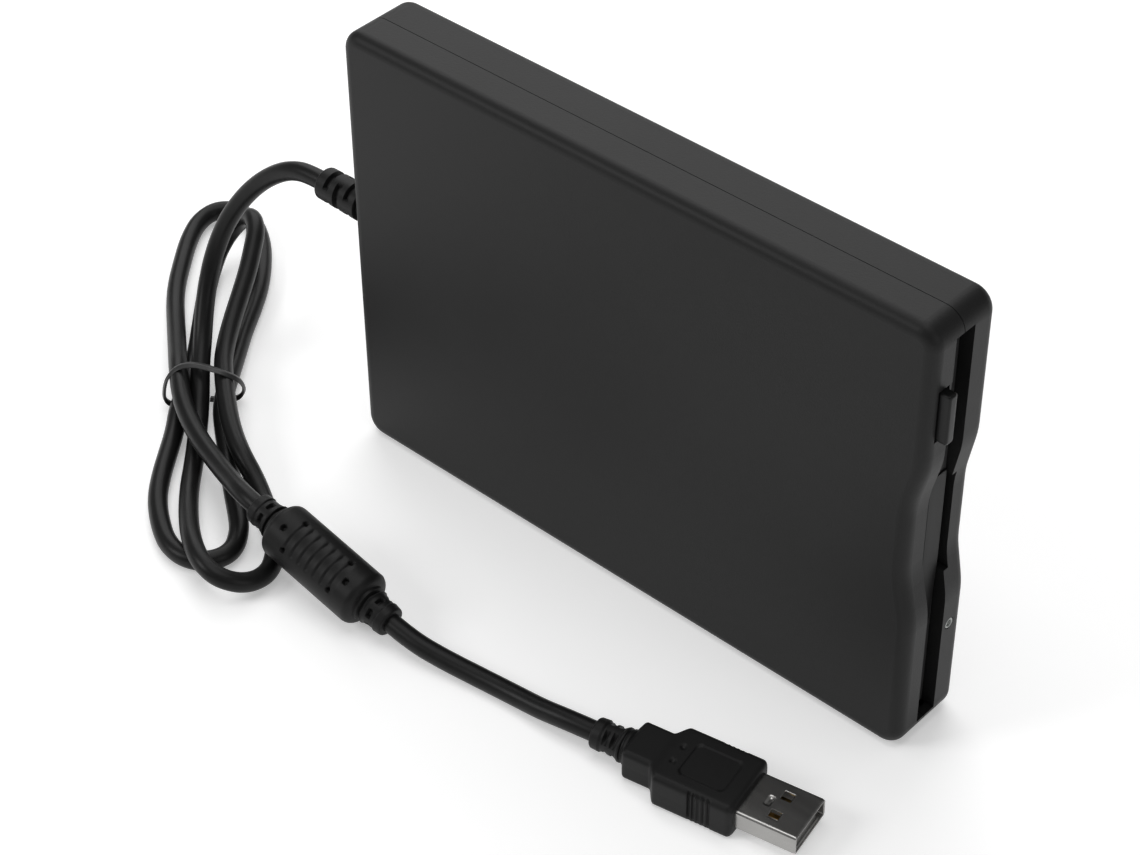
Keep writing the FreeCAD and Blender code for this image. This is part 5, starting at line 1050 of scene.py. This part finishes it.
# %% [markdown]
# ## The motor's windings
#
# Each pole of the disk motor is wound with fine copper wire. Modelling the wire would cost very
# many faces for a part deep inside, so a wave in rings draws the turns as relief.

# %% The motor's windings


def windings():
    """Copper wire in fine turns: rings of a wave about a line that runs the motor's own way."""
    made = Finish("winding_copper", metallic=1.0)
    settings = {"wave_type": "RINGS", "rings_direction": "Y"}
    sockets = {"Vector": made.coordinates, "Scale": 420.0, "Distortion": 0.6}
    rings = Value(made, made.node("ShaderNodeTexWave", settings, sockets).outputs["Fac"])
    made.feed(base_color=made.blend(rings, (0.26, 0.09, 0.03), (0.62, 0.27, 0.11)),
              roughness=rings * 0.15 + 0.28)
    return made.bump(rings, 0.08).material


MATERIALS["winding_copper"] = windings()
print(len(MATERIALS), "finishes so far")

# %% [markdown]
# ## Board, ferrite and ceramic
#
# Circuit board is green lacquer over copper tracks. Two noises, each drawn out along one way of the
# board and cut off by a narrow step, suggest the tracks without drawing any real circuit. The
# ferrite ring is dull and grainy, and the heads are polished ceramic: scattered cells of two tones.

# %% Board, ferrite and ceramic


def board():
    """Green lacquer with raised tracks: two stepped noises drawn out along the board's two ways."""
    made = Finish("board_green", coat_weight=0.3, coat_roughness=0.12)
    along = made.noise(90.0, 1.0, made.stretched((1.0, 8.0, 9.0))).fade(0.50, 0.52)
    down = made.noise(90.0, 1.0, made.stretched((9.0, 8.0, 1.0))).fade(0.54, 0.56)
    both = along + down
    tracks = both.math("MINIMUM", both, 1.0)
    made.feed(base_color=made.blend(tracks, (0.006, 0.060, 0.020), (0.016, 0.115, 0.040)),
              roughness=tracks * 0.1 + 0.3)
    return made.bump(tracks, 0.03).material


def speckled(name, dark, light, scale, rough):
    """A grainy solid: scattered cells of two tones."""
    made = Finish(name)
    spots = made.cells(scale).fade(0.15, 0.6)
    made.feed(base_color=made.blend(spots, dark, light), roughness=spots * 0.12 + rough)
    return made.bump(spots, 0.03).material


MATERIALS["board_green"] = board()
MATERIALS["ferrite_grey"] = speckled("ferrite_grey", grey(0.035), grey(0.085), 2600.0, 0.5)
MATERIALS["head_ceramic"] = speckled("head_ceramic", (0.30, 0.27, 0.22), (0.42, 0.38, 0.32),
                                     3200.0, 0.14)
print("board, ferrite and ceramic")

# %% [markdown]
# ## Film, lens and light
#
# The strip to the heads is amber film with fine conductors, which a wave in bands draws. The lens
# lets some light through. Its raised rim carries a painted highlight: at this size a paler tone there
# stands in for the light that fine ridges would catch. The light behind it is off.

# %% Film, lens and light
# Distances from the lens's axis, in millimetres, at which its painted rim highlight begins and is
# full.
RIM_HIGHLIGHT_START, RIM_HIGHLIGHT_FULL = 0.70, 0.85


def film():
    """Amber film with fine conductors along its length."""
    made = Finish("ribbon_amber", transmission_weight=0.15)
    settings, sockets = {"bands_direction": "X"}, {"Vector": made.coordinates, "Scale": 900.0}
    lines = Value(made, made.node("ShaderNodeTexWave", settings, sockets).outputs["Fac"])
    made.feed(base_color=made.blend(lines.fade(0.4, 0.6), (0.42, 0.15, 0.02), (0.55, 0.27, 0.06)),
              roughness=lines * 0.1 + 0.25)
    return made.bump(lines, 0.03).material


def lens():
    """Clear plastic with a painted highlight on its raised rim: a paler tone, by a step on the
    distance from its own axis.
    """
    made = Finish("lens_clear", transmission_weight=0.35, ior=1.49)
    place = made.node("ShaderNodeSeparateXYZ", None, {"Vector": made.coordinates})
    aside = Value(made, place.outputs["Y"]) - LENS_PLACE[0] * MM
    up = Value(made, place.outputs["Z"]) - LENS_PLACE[1] * MM
    # The paler rim is a painted highlight: a tone that stands in for light caught by the raised rim.
    painted_rim_highlight = ((aside * aside + up * up) ** 0.5).fade(RIM_HIGHLIGHT_START * MM, RIM_HIGHLIGHT_FULL * MM)
    frost = made.noise(1500.0, 3.0)
    made.feed(base_color=made.blend(painted_rim_highlight, (0.10, 0.11, 0.10), (0.60, 0.63, 0.61)),
              roughness=frost * 0.2 + 0.12)
    return made.bump(frost, 0.004).material


def unlit():
    """The green body of a light that is off."""
    made = Finish("led_green", transmission_weight=0.3, ior=1.5)
    depth = made.noise(700.0, 2.0)
    made.feed(base_color=made.blend(depth, (0.02, 0.10, 0.03), (0.05, 0.20, 0.07)),
              roughness=depth * 0.1 + 0.15)
    return made.bump(depth, 0.02).material


MATERIALS.update({"ribbon_amber": film(), "lens_clear": lens(), "led_green": unlit()})
print(len(MATERIALS), "finishes in all")

# %% [markdown]
# ## Painting the parts
#
# The model's record names a finish for every part, so each part takes the material of that name.
# The new pieces take the ones that they wait for.

# %% Paint every part and piece
for part in frame["record"]["subparts"]:
    node = frame["nodes"][part["node"]]
    node.data.materials.clear()
    node.data.materials.append(MATERIALS[part["material_slot"]])
for name, finish in WAITING.items():
    bpy.data.objects[name].data.materials.append(MATERIALS[finish])
print("painted", len(frame["nodes"]), "parts and", len(WAITING), "new pieces")

# %% [markdown]
# ## Floor, lamps and world
#
# The drive stands on white paper. Four large square lamps light it from the left, from overhead,
# from the right and from behind, so that each edge carries a soft line of light, and the black faces
# stay dark. The paper gives off a little light of its own, which keeps its far parts white.

# %% Floor, lamps and world
FLOOR_REACH, FLOOR_GLOW, WORLD_GLOW = 6.0, 0.34, 0.2
LAMPS_AIM = Vector((-0.02, -0.01, 0.04))
LAMPS = {
    # name: place in metres, side of the square, power in watts
    "key": ((-0.71, -0.91, 0.78), 0.5, 5.0),
    "top": ((-0.1, 0.0, 1.7), 1.2, 9.0),
    "side": ((1.3, -0.1, 0.7), 0.8, 2.5),
    "back": ((-0.78, 0.85, 1.0), 1.3, 11.0),
}

floor_mesh = bpy.data.meshes.new("floor")
floor_mesh.from_pydata(
    [(x * FLOOR_REACH, y * FLOOR_REACH, 0.0) for x, y in ((-1, -1), (1, -1), (1, 1), (-1, 1))],
    [], [(0, 1, 2, 3)])
floor = bpy.data.objects.new("floor", floor_mesh)
bpy.context.collection.objects.link(floor)
paper = Finish("paper", roughness=0.9, emission_color=(1.0, 1.0, 1.0, 1.0),
               emission_strength=FLOOR_GLOW)
paper.feed(base_color=paper.blend(paper.noise(9.0, 3.0), grey(0.86), grey(0.90)))
floor_mesh.materials.append(paper.material)


def soft_light(name, place, size, power):
    """A large square lamp that faces the drive."""
    data = bpy.data.lights.new(name, "AREA")
    data.size, data.energy = size, power
    lamp = bpy.data.objects.new(name, data)
    bpy.context.collection.objects.link(lamp)
    lamp.location = place
    lamp.rotation_euler = (LAMPS_AIM - lamp.location).to_track_quat("-Z", "Y").to_euler()


for name, lamp in LAMPS.items():
    soft_light(name, *lamp)

world = bpy.data.worlds.new("studio")
bpy.context.scene.world = world
world.use_nodes = True
sky = world.node_tree.nodes["Background"].inputs
sky["Color"].default_value = (1.0, 1.0, 1.0, 1.0)
sky["Strength"].default_value = WORLD_GLOW
bpy.context.scene.view_settings.view_transform = "Standard"
print("white floor and", len(LAMPS), "lamps")
